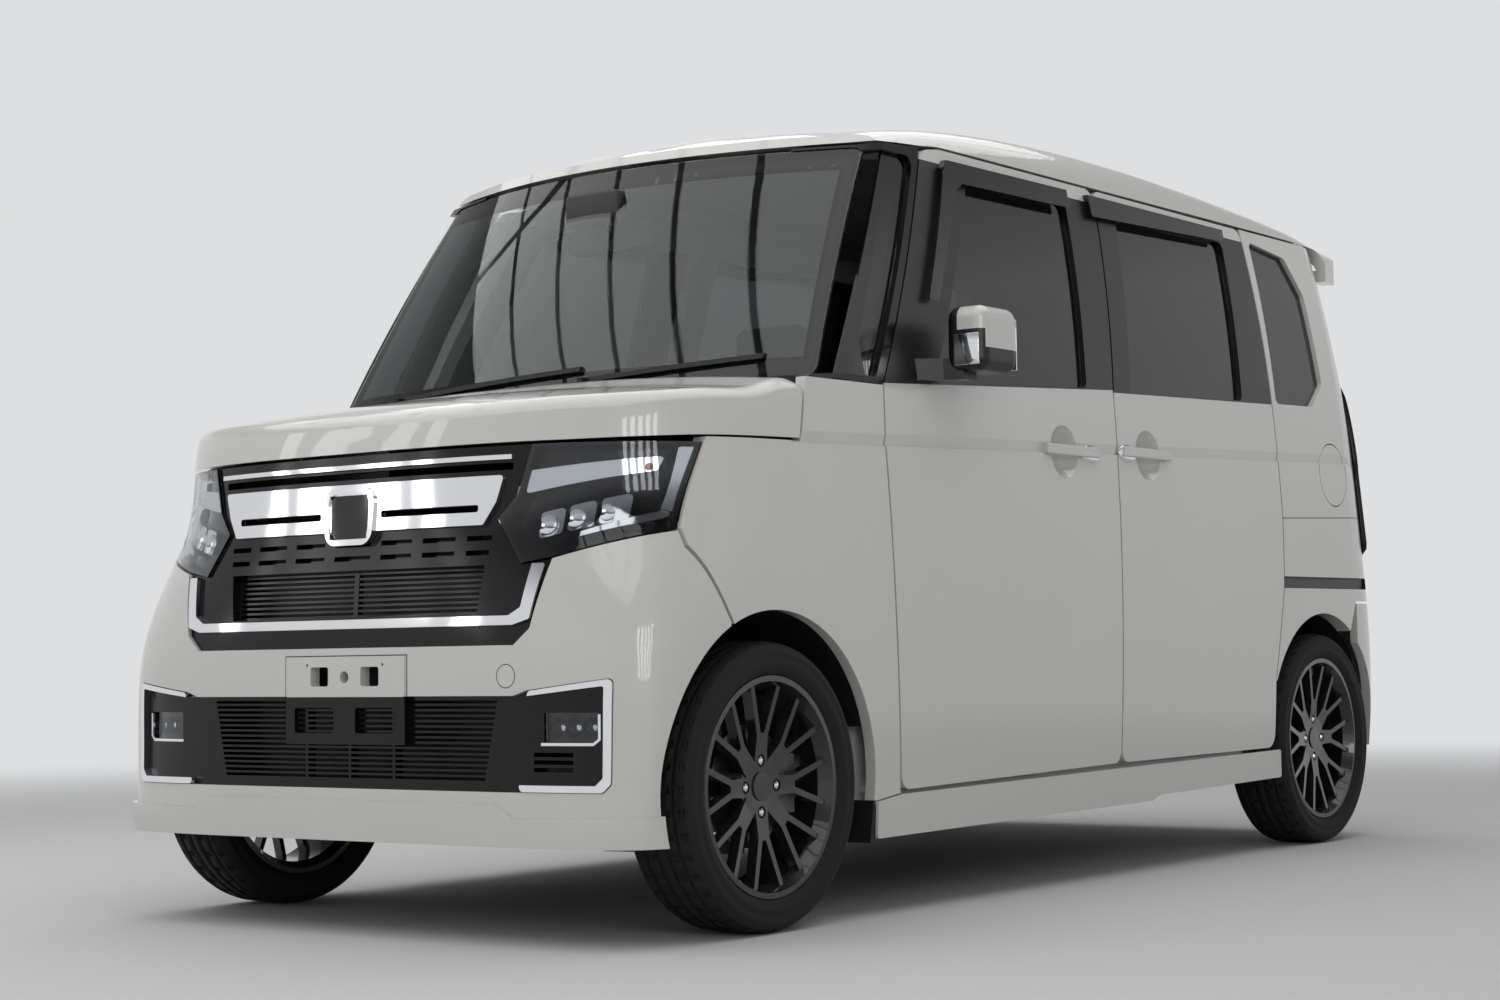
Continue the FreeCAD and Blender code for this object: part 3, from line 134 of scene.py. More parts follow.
def addGrain(tree, shader, settings):
    grain = tree.nodes.new("ShaderNodeGroup")
    grain.node_tree = fineGrain
    grain.inputs["Scale"].default_value = settings["grainScale"]
    grain.inputs["Low Roughness"].default_value = settings["roughness"] * (1 - surface["roughSpread"])
    grain.inputs["High Roughness"].default_value = settings["roughness"] * (1 + surface["roughSpread"])
    bump = tree.nodes.new("ShaderNodeBump")
    bump.inputs["Strength"].default_value = settings["grainStrength"]
    bump.inputs["Distance"].default_value = surface["grainDepth"]
    tree.links.new(grain.outputs["Height"], bump.inputs["Height"])
    tree.links.new(bump.outputs["Normal"], shader.inputs["Normal"])
    tree.links.new(grain.outputs["Roughness"], shader.inputs["Roughness"])


# Opaque finishes: what each has beyond a plain one without metal or clear coat
plainFinish = dict(metal=0.0, coat=0.0, specular=0.5)
finishes = {
    "paint": dict(colour=(0.64, 0.63, 0.60), roughness=0.34, coat=1.0, grainScale=2600, grainStrength=0.02),
    "black_gloss": dict(colour=(0.005, 0.005, 0.006), roughness=0.13, specular=0.3, grainScale=1400,
                        grainStrength=0.01),
    "black_plastic": dict(colour=(0.012, 0.012, 0.013), roughness=0.52, specular=0.35, grainScale=1500,
                          grainStrength=0.35),
    "cabin_plastic": dict(colour=(0.035, 0.035, 0.038), roughness=0.6, grainScale=1100, grainStrength=0.4),
    "chrome": dict(colour=(0.83, 0.84, 0.86), metal=1.0, roughness=0.06, grainScale=700, grainStrength=0.01),
    "tyre": dict(colour=(0.013, 0.013, 0.014), roughness=0.74, specular=0.3, grainScale=1600,
                 grainStrength=0.4),
    "rim_black": dict(colour=(0.018, 0.018, 0.020), metal=0.25, roughness=0.26, coat=0.7, grainScale=1800,
                      grainStrength=0.02),
    "steel": dict(colour=(0.50, 0.49, 0.48), metal=1.0, roughness=0.38, grainScale=900, grainStrength=0.12),
    "underbody": dict(colour=(0.040, 0.040, 0.042), roughness=0.62, grainScale=500, grainStrength=0.5),
    "castings": dict(colour=(0.16, 0.16, 0.16), metal=0.7, roughness=0.58, grainScale=420, grainStrength=0.6),
    "radiator": dict(colour=(0.05, 0.05, 0.05), metal=0.5, roughness=0.5, grainScale=600, grainStrength=0.2),
    "seat_fabric": dict(colour=(0.035, 0.035, 0.038), roughness=0.9, grainScale=900, grainStrength=0.7),
    "amber": dict(colour=(0.55, 0.13, 0.03), roughness=0.15, coat=0.6, grainScale=900, grainStrength=0.02),
}


def opaqueFinish(name, settings):
    settings = {**plainFinish, **settings}
    material, tree, shader = newFinish(name)
    tone = toneOf(tree, settings["colour"], surface["toneDepth"], surface["toneScale"])
    tree.links.new(tone, shader.inputs["Base Color"])
    shader.inputs["Metallic"].default_value = settings["metal"]
    shader.inputs["Coat Weight"].default_value = settings["coat"]
    shader.inputs["Coat Roughness"].default_value = surface["coatRoughness"]
    shader.inputs["Specular IOR Level"].default_value = settings["specular"]
    addGrain(tree, shader, settings)
    return material


materials = {name: opaqueFinish(name, settings) for name, settings in finishes.items()}

# Clear and tinted glass: tint, roughness and index of refraction
glasses = {
    "clear_glass": dict(tint=(0.62, 0.68, 0.66), roughness=0.0, index=1.5),
    "dark_glass": dict(tint=(0.050, 0.055, 0.058), roughness=0.0, index=1.5),
    "lamp_lens": dict(tint=(0.80, 0.82, 0.84), roughness=0.0, index=1.40),
    "smoked_plastic": dict(tint=(0.060, 0.063, 0.068), roughness=0.01, index=1.52),
    "tail_lens": dict(tint=(0.80, 0.020, 0.016), roughness=0.02, index=1.5),
}


def glassFinish(name, settings):
    material, tree, shader = newFinish(name)
    tone = toneOf(tree, settings["tint"], surface["glassDepth"], surface["glassScale"])
    tree.links.new(tone, shader.inputs["Base Color"])
    shader.inputs["Transmission Weight"].default_value = 1.0
    shader.inputs["Roughness"].default_value = settings["roughness"]
    shader.inputs["IOR"].default_value = settings["index"]
    return material


for name, settings in glasses.items():
    materials[name] = glassFinish(name, settings)
print("finishes ready")


# Masks from object coordinates, for finishes that change along a line or inside a shape
def mathNode(tree, operation, first, second=None):
    node = tree.nodes.new("ShaderNodeMath")
    node.operation = operation
    for socket, value in zip(node.inputs, (first, second)):
        if isinstance(value, (int, float)):
            socket.default_value = value
        elif value is not None:
            tree.links.new(value, socket)
    return node.outputs["Value"]


def within(tree, value, low, high):
    above = mathNode(tree, "GREATER_THAN", value, low)
    return mathNode(tree, "MULTIPLY", above, mathNode(tree, "LESS_THAN", value, high))


def aboveLine(tree, place, rise):
    # the height over a line that climbs towards the back
    return mathNode(tree, "SUBTRACT", place["Z"], mathNode(tree, "MULTIPLY", place["Y"], rise))


def boxMark(low, high):
    # a box of distance from the middle, place and height
    def mark(tree, place):
        total = None
        for axis, a, b in zip(("across", "Y", "Z"), low, high):
            part = within(tree, place[axis], a, b)
            total = part if total is None else mathNode(tree, "MULTIPLY", total, part)
        return total
    return mark


def outlineMark(low, high, width):
    # the border of such a box, seen from the front
    def mark(tree, place):
        whole = boxMark(low, high)(tree, place)
        inner = boxMark((low[0] - 1, low[1], low[2] + width), (high[0] - width, high[1], high[2] - width))
        return mathNode(tree, "SUBTRACT", whole, inner(tree, place))
    return mark


def ringMark(middle, radius, width, front):
    # a thin ring on what lies before the front plane
    def mark(tree, place):
        offsets = [mathNode(tree, "SUBTRACT", place[axis], at) for axis, at in zip("XZ", middle)]
        squares = [mathNode(tree, "MULTIPLY", offset, offset) for offset in offsets]
        away = mathNode(tree, "SQRT", mathNode(tree, "ADD", *squares))
        ring = within(tree, away, radius - width / 2, radius + width / 2)
        return mathNode(tree, "MULTIPLY", ring, mathNode(tree, "LESS_THAN", place["Y"], front))
    return mark


def seamMark(base, rise, width, front, back):
    # a line along the side that climbs towards the back
    def mark(tree, place):
        band = within(tree, aboveLine(tree, place, rise), base - width / 2, base + width / 2)
        return mathNode(tree, "MULTIPLY", band, within(tree, place["Y"], front, back))
    return mark


def beltMark(height, at, rise, top):
    # everything above the belt line, whose height is given at one place, and below the roof rail
    def mark(tree, place):
        above = mathNode(tree, "GREATER_THAN", aboveLine(tree, place, rise), height - rise * at)
        return mathNode(tree, "MULTIPLY", above, mathNode(tree, "LESS_THAN", place["Z"], top))
    return mark


def markedFinish(name, base, marks):
    # one finish that is gloss black inside the marks
    settings = {**plainFinish, **finishes[base]}
    material, tree, shader = newFinish(name)
    coords = tree.nodes.new("ShaderNodeTexCoord")
    split = tree.nodes.new("ShaderNodeSeparateXYZ")
    tree.links.new(coords.outputs["Object"], split.inputs["Vector"])
    place = {axis: split.outputs[axis] for axis in "XYZ"}
    place["across"] = mathNode(tree, "ABSOLUTE", place["X"])
    total = None
    for mark in marks:
        mask = mark(tree, place)
        total = mask if total is None else mathNode(tree, "MAXIMUM", total, mask)
    rest = mathNode(tree, "SUBTRACT", 1.0, total)
    mix = tree.nodes.new("ShaderNodeMix")
    mix.data_type = "RGBA"
    mix.inputs["B"].default_value = shade(finishes["black_gloss"]["colour"])
    tone = toneOf(tree, settings["colour"], surface["toneDepth"], surface["toneScale"])
    tree.links.new(total, mix.inputs["Factor"])
    tree.links.new(tone, mix.inputs["A"])
    tree.links.new(mix.outputs["Result"], shader.inputs["Base Color"])
    for share, socket in ((settings["metal"], "Metallic"), (settings["coat"], "Coat Weight")):
        if share:
            tree.links.new(mathNode(tree, "MULTIPLY", rest, share), shader.inputs[socket])
    shader.inputs["Coat Roughness"].default_value = surface["coatRoughness"]
    addGrain(tree, shader, settings)
    return material


# Gloss black above the belt line of the doors
doorBlack = dict(front=dict(height=1.096, at=-0.843, rise=0.055, top=1.617),
                 rear=dict(height=1.1435, at=0.1, rise=0.033, top=1.617))
frontDoorPaint = markedFinish("front_door_paint", "paint", [beltMark(**doorBlack["front"])])
rearDoorPaint = markedFinish("rear_door_paint", "paint", [beltMark(**doorBlack["rear"])])

# Black slot of the door rail, and the seam above it
quarterMarks = dict(slot=dict(low=(0.60, 1.02, 0.6855), high=(0.80, 1.5745, 0.7165)),
                    seam=dict(base=0.839, rise=0.031, width=0.0026, front=1.02, back=1.62))
quarterPaint = markedFinish("quarter_paint", "paint",
                            [boxMark(**quarterMarks["slot"]), seamMark(**quarterMarks["seam"])])

# Painted shadow line round the plate's raised panel: a thin gloss-black border standing in for the shade at
# its edge. Also a seam circling the cap of the towing eye
bumperMarks = dict(panel=dict(low=(-0.01, -1.70, 0.440), high=(0.170, -1.62, 0.549), width=0.0022),
                   cap=dict(middle=(0.422, 0.505), radius=0.022, width=0.0018, front=-1.5))
bumperPaint = markedFinish("bumper_paint", "paint",
                           [outlineMark(**bumperMarks["panel"]), ringMark(**bumperMarks["cap"])])

# The bare badge: black inside its bright ring
badge = dict(low=(-0.01, -1.75, 0.7785), high=(0.0515, -1.60, 0.8655))
trimChrome = markedFinish("badged_chrome", "chrome", [boxMark(**badge)])

# Mirror heads: body colour on the cap, black inboard, beneath it and round the small front mirror
mirrorBlack = dict(start=(0.0, -1.0, 0.9), inboard=(0.796, 0.0, 1.4), beneath=(1.0, 0.0, 1.176),
                   roundGlass=(0.858, -0.635, 1.216))
mirrorPaint = markedFinish("mirror_paint", "paint", [
    boxMark(mirrorBlack["start"], mirrorBlack[part]) for part in ("inboard", "beneath", "roundGlass")])

nodeFinish = {row["node"]: row["material_slot"] for row in frame["record"]["subparts"]}
ownFinish = {
    "front_door_left": frontDoorPaint,
    "front_door_right": frontDoorPaint,
    "sliding_doors": rearDoorPaint,
    "quarter_panel_left": quarterPaint,
    "quarter_panel_right": quarterPaint,
    "front_bumper": bumperPaint,
    "front_trim": trimChrome,
    "mirror_left": mirrorPaint,
    "mirror_right": mirrorPaint,
}
for name, piece in frame["nodes"].items():
    finish = ownFinish.get(name) or materials[nodeFinish[name]]
    for slot in piece.material_slots:
        slot.material = finish
print("frame dressed")

# New pieces, built by bmesh operators
sides = ((1, "left"), (-1, "right"))
weldDistance = 0.00001


def makePiece(name, build, finish, body, smooth=True):
    mesh = bpy.data.meshes.new(name)
    shape = bmesh.new()
    build(shape)
    bmesh.ops.remove_doubles(shape, verts=shape.verts, dist=weldDistance)
    bmesh.ops.recalc_face_normals(shape, faces=shape.faces)
    for face in shape.faces:
        face.smooth = smooth
    shape.to_mesh(mesh)
    shape.free()
    piece = bpy.data.objects.new(name, mesh)
    bpy.context.collection.objects.link(piece)
    mesh.materials.append(materials[finish])
    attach(piece, body)
    return piece


def flip(point, side):
    return (point[0] * side, point[1], point[2])


def onSide(box, side):
    # the low and high corners of a left box, or of its mirror image
    left, right = sorted((box[0][0] * side, box[1][0] * side))
    return (left, *box[0][1:]), (right, *box[1][1:])


def middleOf(low, high):
    return Vector([(a + b) / 2 for a, b in zip(low, high)])


def addBall(shape, middle, radii, segments, rings):
    grown = bmesh.ops.create_uvsphere(shape, u_segments=segments, v_segments=rings, radius=1.0)
    bmesh.ops.scale(shape, verts=grown["verts"], vec=radii)
    bmesh.ops.translate(shape, verts=grown["verts"], vec=middle)


def addRod(shape, start, end, lowRadius, highRadius, segments):
    way = Vector(end) - Vector(start)
    grown = bmesh.ops.create_cone(shape, cap_ends=True, segments=segments, radius1=lowRadius,
                                  radius2=highRadius, depth=way.length)
    turn = way.to_track_quat("Z", "Y").to_matrix()
    bmesh.ops.rotate(shape, verts=grown["verts"], cent=(0, 0, 0), matrix=turn)
    bmesh.ops.translate(shape, verts=grown["verts"], vec=middleOf(start, end))


def addBox(shape, low, high, rounding, segments=2):
    grown = bmesh.ops.create_cube(shape, size=1.0)
    bmesh.ops.scale(shape, verts=grown["verts"], vec=[b - a for a, b in zip(low, high)])
    bmesh.ops.translate(shape, verts=grown["verts"], vec=middleOf(low, high))
    edges = {edge for vert in grown["verts"] for edge in vert.link_edges}
    bmesh.ops.bevel(shape, geom=list(edges), offset=rounding, segments=segments, affect="EDGES", profile=0.5,
                    material=-1)


def buildBalls(side, middles, radii, segments, rings):
    def build(shape):
        for middle in middles:
            addBall(shape, flip(middle, side), radii, segments, rings)
    return build


def buildPlate(side, low, high, rounding):
    def build(shape):
        addBox(shape, *onSide((low, high), side), rounding)
    return build


# Tyres with grooves, notched shoulders and sidewall rings; the profile is radius and offset from the middle
tyre = dict(radius=0.2815, centreX=0.6525, frontY=-1.254, rearY=1.266, steps=120,
            profile=((0.2092, 0.0626), (0.2152, 0.0636), (0.2190, 0.0725), (0.2230, 0.0762), (0.2262, 0.0766),
                     (0.2275, 0.0786), (0.2400, 0.0822), (0.2420, 0.0812), (0.2560, 0.0812), (0.2575, 0.0818),
                     (0.2655, 0.0798), (0.2665, 0.0780), (0.2730, 0.0738), (0.2765, 0.0688), (0.2795, 0.0610),
                     (0.2813, 0.0520)),
            grooves=((0.0470, 0.0390), (0.0170, 0.0090)), groove=0.006, grooveSlope=0.001, crown=0.0001,
            shoulder=(0.2765, 0.053, 0.067), rib=(0.2805, 0.02, 0.037), notchEvery=3, notchDepth=0.004,
            notchBorder=0.0022)
corners = {
    "front_left": (1, tyre["frontY"]),
    "front_right": (-1, tyre["frontY"]),
    "rear_left": (1, tyre["rearY"]),
    "rear_right": (-1, tyre["rearY"]),
}


def tyreProfile():
    top, foot, slope = tyre["radius"], tyre["radius"] - tyre["groove"], tyre["grooveSlope"]
    half = list(tyre["profile"])
    for outer, inner in tyre["grooves"]:
        half += [(top - tyre["crown"], outer), (foot, outer - slope), (foot, inner + slope), (top, inner)]
    return half + [(radius, -across) for radius, across in half[::-1]] + half[:1]


def buildTyre(middle):
    def build(shape):
        row = [shape.verts.new((middle[0] + across, middle[1], middle[2] + radius))
               for radius, across in tyreProfile()]
        edges = [shape.edges.new((a, b)) for a, b in zip(row, row[1:])]
        bmesh.ops.spin(shape, geom=row + edges, cent=middle, axis=(1, 0, 0), angle=2 * math.pi,
                       steps=tyre["steps"], use_merge=True)
        bmesh.ops.recalc_face_normals(shape, faces=shape.faces)
        notches = []
        for face in shape.faces:
            spot = face.calc_center_median() - Vector(middle)
            out = math.hypot(spot.y, spot.z)
            step = round(math.atan2(spot.y, spot.z) / (2 * math.pi) * tyre["steps"] - 0.5)
            marked = any(out > lowest and near < abs(spot.x) < far
                         for lowest, near, far in (tyre["shoulder"], tyre["rib"]))
            if marked and step % tyre["notchEvery"] == 0:
                notches.append(face)
        bmesh.ops.inset_individual(shape, faces=notches, thickness=tyre["notchBorder"],
                                   depth=-tyre["notchDepth"])
    return build


for corner, (side, y) in corners.items():
    hub = (side * tyre["centreX"], y, tyre["radius"])
    piece = makePiece("tread_" + corner, buildTyre(hub), "tyre", "wheel_" + corner)
    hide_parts("tyre_" + corner)

# Wheel nuts in their pockets: a round seat, a six-sided nut and a low dome on it
nut = dict(count=4, circle=0.050, outX=0.684, seatRadius=0.0105, seatHeight=0.003, seatSegments=18,
           sink=0.001, height=0.0105, radius=0.0085, tipRadius=0.00799, faces=6, dome=(0.003, 0.0068, 0.0068))


def buildNuts(side, y):
    def build(shape):
        for k in range(nut["count"]):
            turn = 2 * math.pi * k / nut["count"]
            along, up = y + nut["circle"] * math.sin(turn), tyre["radius"] + nut["circle"] * math.cos(turn)
            foot, top, start, tip = [(side * (nut["outX"] + out), along, up)
                                     for out in (0, nut["seatHeight"], nut["sink"], nut["height"])]
            addRod(shape, foot, top, nut["seatRadius"], nut["seatRadius"], nut["seatSegments"])
            addRod(shape, start, tip, nut["radius"], nut["tipRadius"], nut["faces"])
            addBall(shape, tip, nut["dome"], nut["faces"] * 2, nut["faces"])
    return build


for corner, (side, y) in corners.items():
    makePiece("nuts_" + corner, buildNuts(side, y), "chrome", "wheel_" + corner, False)

# Bright backing of the door handles, and the small mirror on each door mirror's front
handleBacking = dict(front=(0.7272, 0.016, 0.990), rear=(0.7272, 0.196, 1.001),
                     size=dict(radii=(0.006, 0.046, 0.021), segments=28, rings=14))
frontMirror = dict(low=(0.787, -0.6690, 1.140), high=(0.849, -0.6655, 1.207), rounding=0.0012)
for side, word in sides:
    front, rear = [buildBalls(side, (handleBacking[door],), **handleBacking["size"])
                   for door in ("front", "rear")]
    makePiece("front_mirror_" + word, buildPlate(side, **frontMirror), "chrome", "door_" + word)
    makePiece("handle_backing_" + word, front, "chrome", "door_" + word)
    makePiece("rear_handle_backing_" + word, rear, "chrome", "root")

# Rays onto the nodes' own faces, so that thin trim lies on them
nodeTrees = {}


def treeOf(name):
    if name not in nodeTrees:
        mesh = frame["nodes"][name].data
        nodeTrees[name] = BVHTree.FromPolygons([v.co.copy() for v in mesh.vertices],
                                               [tuple(p.vertices) for p in mesh.polygons])
    return nodeTrees[name]


def faceAt(name, x, z, way):
    # the y of a node's foremost (-1) or rearmost (1) face there, or None
    spot = treeOf(name).ray_cast(Vector((x, way * 3.0, z)), Vector((0, -way, 0)))[0]
    return spot.y if spot else None


# Dark band round the inside of the windscreen: the pane's half widths and heights, and the band's own widths
screenBand = dict(baseHalf=0.676, topHalf=0.594, base=1.099, top=1.626, side=0.034, slant=0.006, high=0.050,
                  low=0.042, steps=26, behind=0.0068, thickness=0.001, inset=0.006, lift=0.003, squeeze=0.988,
                  pulls=(1.0, 0.992, 0.984, 0.976, 0.968, 0.96))


def onScreen(x, z, behind):
    # a point behind the glass, drawn in where the pane's corner is rounded off
    middle = (screenBand["base"] + screenBand["top"]) / 2
    for pull in screenBand["pulls"]:
        near = Vector((x * pull, 0, middle + (z - middle) * pull))
        y = faceAt("windscreen", near.x, near.z, -1)
        if y is not None:
            return Vector((near.x, y + behind, near.z))
    raise ValueError("no glass there")


def buildScreenBand(shape):
    band = screenBand
    base, top, baseHalf, topHalf = band["base"], band["top"], band["baseHalf"], band["topHalf"]
    baseIn, topIn = baseHalf - band["side"] - band["slant"], topHalf - band["side"] + band["slant"]
    low, high = base + band["low"], top - band["high"]
    outer = [(-baseHalf, base), (baseHalf, base), (topHalf, top), (-topHalf, top)]
    inner = [(-baseIn, low), (baseIn, low), (topIn, high), (-topIn, high)]
    loops = []
    for share in (0.0, 0.5, 1.0):
        ring = []
        for k in range(4):
            for step in range(band["steps"]):
                a, b = [Vector(path[k]).lerp(Vector(path[(k + 1) % 4]), step / band["steps"])
                        for path in (outer, inner)]
                x, z = a.lerp(b, share)
                inward = 1 - band["inset"] * (1 - share)
                height = base + band["lift"] + (z - base) * band["squeeze"]
                ring.append(shape.verts.new(onScreen(x * inward, height, band["behind"])))
        loops.append([shape.edges.new((a, b)) for a, b in zip(ring, ring[1:] + ring[:1])])
    for first, second in zip(loops, loops[1:]):
        bmesh.ops.bridge_loops(shape, edges=first + second)
    bmesh.ops.recalc_face_normals(shape, faces=shape.faces)
    bmesh.ops.solidify(shape, geom=shape.faces[:], thickness=-band["thickness"])


makePiece("screen_band", buildScreenBand, "black_plastic", "root")

# Camera housing behind the windscreen, and the rear-view mirror on its stalk: depth behind the glass, height
cabinSight = dict(behind=0.012, halfWidth=0.075, depth=0.045, low=1.500, high=1.572, rounding=0.008,
                  stalkFoot=(0.03, 1.51), stalkHead=(0.075, 1.475), stalkRadius=0.007, stalkSegments=12,
                  mirrorHalf=0.115, mirrorLow=(0.070, 1.443), mirrorHigh=(0.093, 1.507))


def buildScreenCamera(shape):
    sight = cabinSight
    wide, mirrorWide = sight["halfWidth"], sight["mirrorHalf"]
    y = onScreen(0, sight["low"], sight["behind"]).y
    addBox(shape, (-wide, y, sight["low"]), (wide, y + sight["depth"], sight["high"]), sight["rounding"])
    foot, head, low, high = [(y + sight[key][0], sight[key][1])
                             for key in ("stalkFoot", "stalkHead", "mirrorLow", "mirrorHigh")]
    addRod(shape, (0, *foot), (0, *head), sight["stalkRadius"], sight["stalkRadius"], sight["stalkSegments"])
    addBox(shape, (-mirrorWide, *low), (mirrorWide, *high), sight["rounding"], 3)


makePiece("screen_camera_and_mirror", buildScreenCamera, "cabin_plastic", "root")

# Seats as crowned pads with sewn channels: how a pad is shaped, and the boxes that the pads fill
pads = dict(rounding=0.045, roundest=0.95, cuts=27, crown=0.014, waist=0.010, channelDepth=0.008,
            channelWidth=0.010, channels=(-0.5, 0.5), crossChannel=0.5, baseRounding=0.01)
seats = {
    "front_seats": dict(base=((0.12, -0.335, 0.2505), (0.51, 0.03, 0.44)), baseSides=(1, -1),
                        cushion=((0.07, -0.408, 0.45), (0.56, 0.07, 0.628)),
                        back=((0.08, 0.008, 0.60), (0.55, 0.115, 1.225)), lean=0.185,
                        headrest=((0.20, 0.145, 1.245), (0.43, 0.225, 1.395))),
    "rear_seat": dict(base=((-0.49, 0.51, 0.2505), (0.49, 0.71, 0.47)), baseSides=(1,),
                      cushion=((0.003, 0.465, 0.425), (0.535, 0.93, 0.600)),
                      back=((0.003, 0.885, 0.545), (0.535, 0.985, 1.105)), lean=0.20),
}


def addPad(shape, low, high, lean=0.0, thin=2, side=1, channels=pads["channels"]):
    # a rounded box on a fine grid: one broad face crowned and sewn, its sides drawn in between the corners
    pad = bmesh.new()
    bmesh.ops.create_cube(pad, size=2.0)
    bmesh.ops.subdivide_edges(pad, edges=pad.edges[:], cuts=pads["cuts"], use_grid_fill=True)
    half = [(b - a) / 2 for a, b in zip(low, high)]
    rounding = min(pads["rounding"], min(half) * pads["roundest"])
    long = 3 - thin
    for vert in pad.verts:
        share = vert.co.copy()
        full = Vector([q * h for q, h in zip(share, half)])
        inner = Vector([max(-h + rounding, min(h - rounding, q)) for q, h in zip(full, half)])
        place = inner + (full - inner).normalized() * rounding
        place.x -= math.copysign(pads["waist"], share.x) * (1 - share[long] ** 2) * abs(share.x) ** 4
        if share[thin] * side > 0.5:
            lift = pads["crown"] * (1 - share.x ** 2) * (1 - share[long] ** 2)
            seams = [(share.x - channel) * half[0] for channel in channels]
            seams += [(share[long] - pads["crossChannel"]) * half[long]] if channels else []
            for away in seams:
                lift -= pads["channelDepth"] * math.exp(-(away / pads["channelWidth"]) ** 2)
            place[thin] += side * lift
        vert.co = place + middleOf(low, high)
    turn = Matrix.Rotation(-lean, 3, "X")
    bmesh.ops.rotate(pad, verts=pad.verts[:], cent=(0, low[1], low[2]), matrix=turn)
    mesh = bpy.data.meshes.new("pad")
    pad.to_mesh(mesh)
    pad.free()
    shape.from_mesh(mesh)
    bpy.data.meshes.remove(mesh)


def buildSeats(settings):
    def build(shape):
        for side in settings["baseSides"]:
            addBox(shape, *onSide(settings["base"], side), pads["baseRounding"])
        for side in (1, -1):
            addPad(shape, *onSide(settings["cushion"], side))
            addPad(shape, *onSide(settings["back"], side), settings["lean"], 1, -1)
            if "headrest" in settings:
                addPad(shape, *onSide(settings["headrest"], side), 0.0, 1, -1, ())
    return build


for name, settings in seats.items():
    piece = makePiece(name + "_padded", buildSeats(settings), "seat_fabric", "root")
    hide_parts(name)

# Thin trim laid on a node's face: its path of x and z, its width, and how far it stands out and reaches in
strips = dict(pitch=0.03, step=0.01)


def buildStrip(node, path, width, out, back, way=1, side=1):
    def build(shape):
        route = [(side * x, z) for x, z in path]
        points = []
        for a, b in zip(route, route[1:]):
            steps = max(1, round(math.dist(a, b) / strips["pitch"]))
            points += [tuple(Vector(a).lerp(Vector(b), k / steps)) for k in range(steps)]
        points.append(route[-1])
        rings = []
        for k, (x, z) in enumerate(points):
            before, after = points[max(k - 1, 0)], points[min(k + 1, len(points) - 1)]
            along = Vector((after[0] - before[0], after[1] - before[1])).normalized()
            middle = faceAt(node, x, z, way)
            ring = []
            for across, depths in ((width / 2, (out, -back)), (-width / 2, (-back, out))):
                edgeX, edgeZ = x - along.y * across, z + along.x * across
                y = faceAt(node, edgeX, edgeZ, way)
                y = middle if y is None or abs(y - middle) > strips["step"] else y
                ring += [Vector((edgeX, y + way * depth, edgeZ)) for depth in depths]
            rings.append(ring)
        end = shape.faces.new([shape.verts.new(place) for place in rings[0]])
        for ring, following in zip(rings, rings[1:]):
            grown = bmesh.ops.extrude_face_region(shape, geom=[end, *end.edges, *end.verts])["geom"]
            end = next(part for part in grown if isinstance(part, bmesh.types.BMFace))
            for vert in end.verts:
                vert.co = following[min(range(4), key=lambda i: (vert.co - ring[i]).length)]
    return build


rearTrim = dict(bar=dict(path=((-0.29, 0.920), (0.29, 0.920)), width=0.030, out=0.008, back=0.004),
                plateHolder=dict(path=((-0.165, 0.8025), (0.165, 0.8025)), width=0.165, out=0.002,
                                 back=0.002),
                stopLamp=dict(path=((-0.13, 1.566), (0.13, 1.566)), width=0.016, out=0.003, back=0.003),
                reflector=dict(path=((0.46, 0.410), (0.60, 0.410)), width=0.030, out=0.002, back=0.004))
for name, trim, finish in (("rear_bar", "bar", "chrome"),
                           ("rear_plate_holder", "plateHolder", "black_plastic"),
                           ("high_stop_lamp", "stopLamp", "tail_lens")):
    makePiece(name, buildStrip("tailgate", **rearTrim[trim]), finish, "tailgate", False)
for side, word in sides:
    reflector = buildStrip("rear_bumper", **rearTrim["reflector"], side=side)
    makePiece("rear_reflector_" + word, reflector, "tail_lens", "root", False)

# Rear wiper, parked along the foot of the glass: pivot, two arm rods and blade
rearWiper = dict(pivot=(0.07, 1.166), elbow=(0.02, 1.205), joint=(-0.09, 1.221), pivotHeight=0.016,
                 pivotRoot=0.004, pivotRadii=(0.019, 0.015), capRadii=(0.015, 0.006, 0.015), armStart=0.014,
                 armRadii=(0.009, 0.006, 0.005), armSegments=14, elbowHeight=0.021, jointHeight=0.012,
                 blade=dict(path=((-0.27, 1.213), (0.09, 1.229)), width=0.009, out=0.013, back=-0.0015))


def buildRearWiper(shape):
    wiper = rearWiper
    (pivotX, pivotZ), (elbowX, elbowZ), (jointX, jointZ) = wiper["pivot"], wiper["elbow"], wiper["joint"]
    foot = Vector((pivotX, faceAt("tailgate", pivotX, pivotZ, 1), pivotZ))
    cap = foot + Vector((0, wiper["pivotHeight"], 0))
    elbow = (elbowX, faceAt("tailgate_glass", elbowX, elbowZ, 1) + wiper["elbowHeight"], elbowZ)
    joint = (jointX, faceAt("tailgate_glass", jointX, jointZ, 1) + wiper["jointHeight"], jointZ)
    thick, slim, end = wiper["armRadii"]
    addRod(shape, foot - Vector((0, wiper["pivotRoot"], 0)), cap, *wiper["pivotRadii"], 20)
    addBall(shape, cap, wiper["capRadii"], 20, 10)
    addRod(shape, foot + Vector((0, wiper["armStart"], 0)), elbow, thick, slim, wiper["armSegments"])
    addRod(shape, elbow, joint, slim, end, wiper["armSegments"])
    buildStrip("tailgate_glass", **wiper["blade"])(shape)


makePiece("rear_wiper", buildRearWiper, "black_plastic", "tailgate")

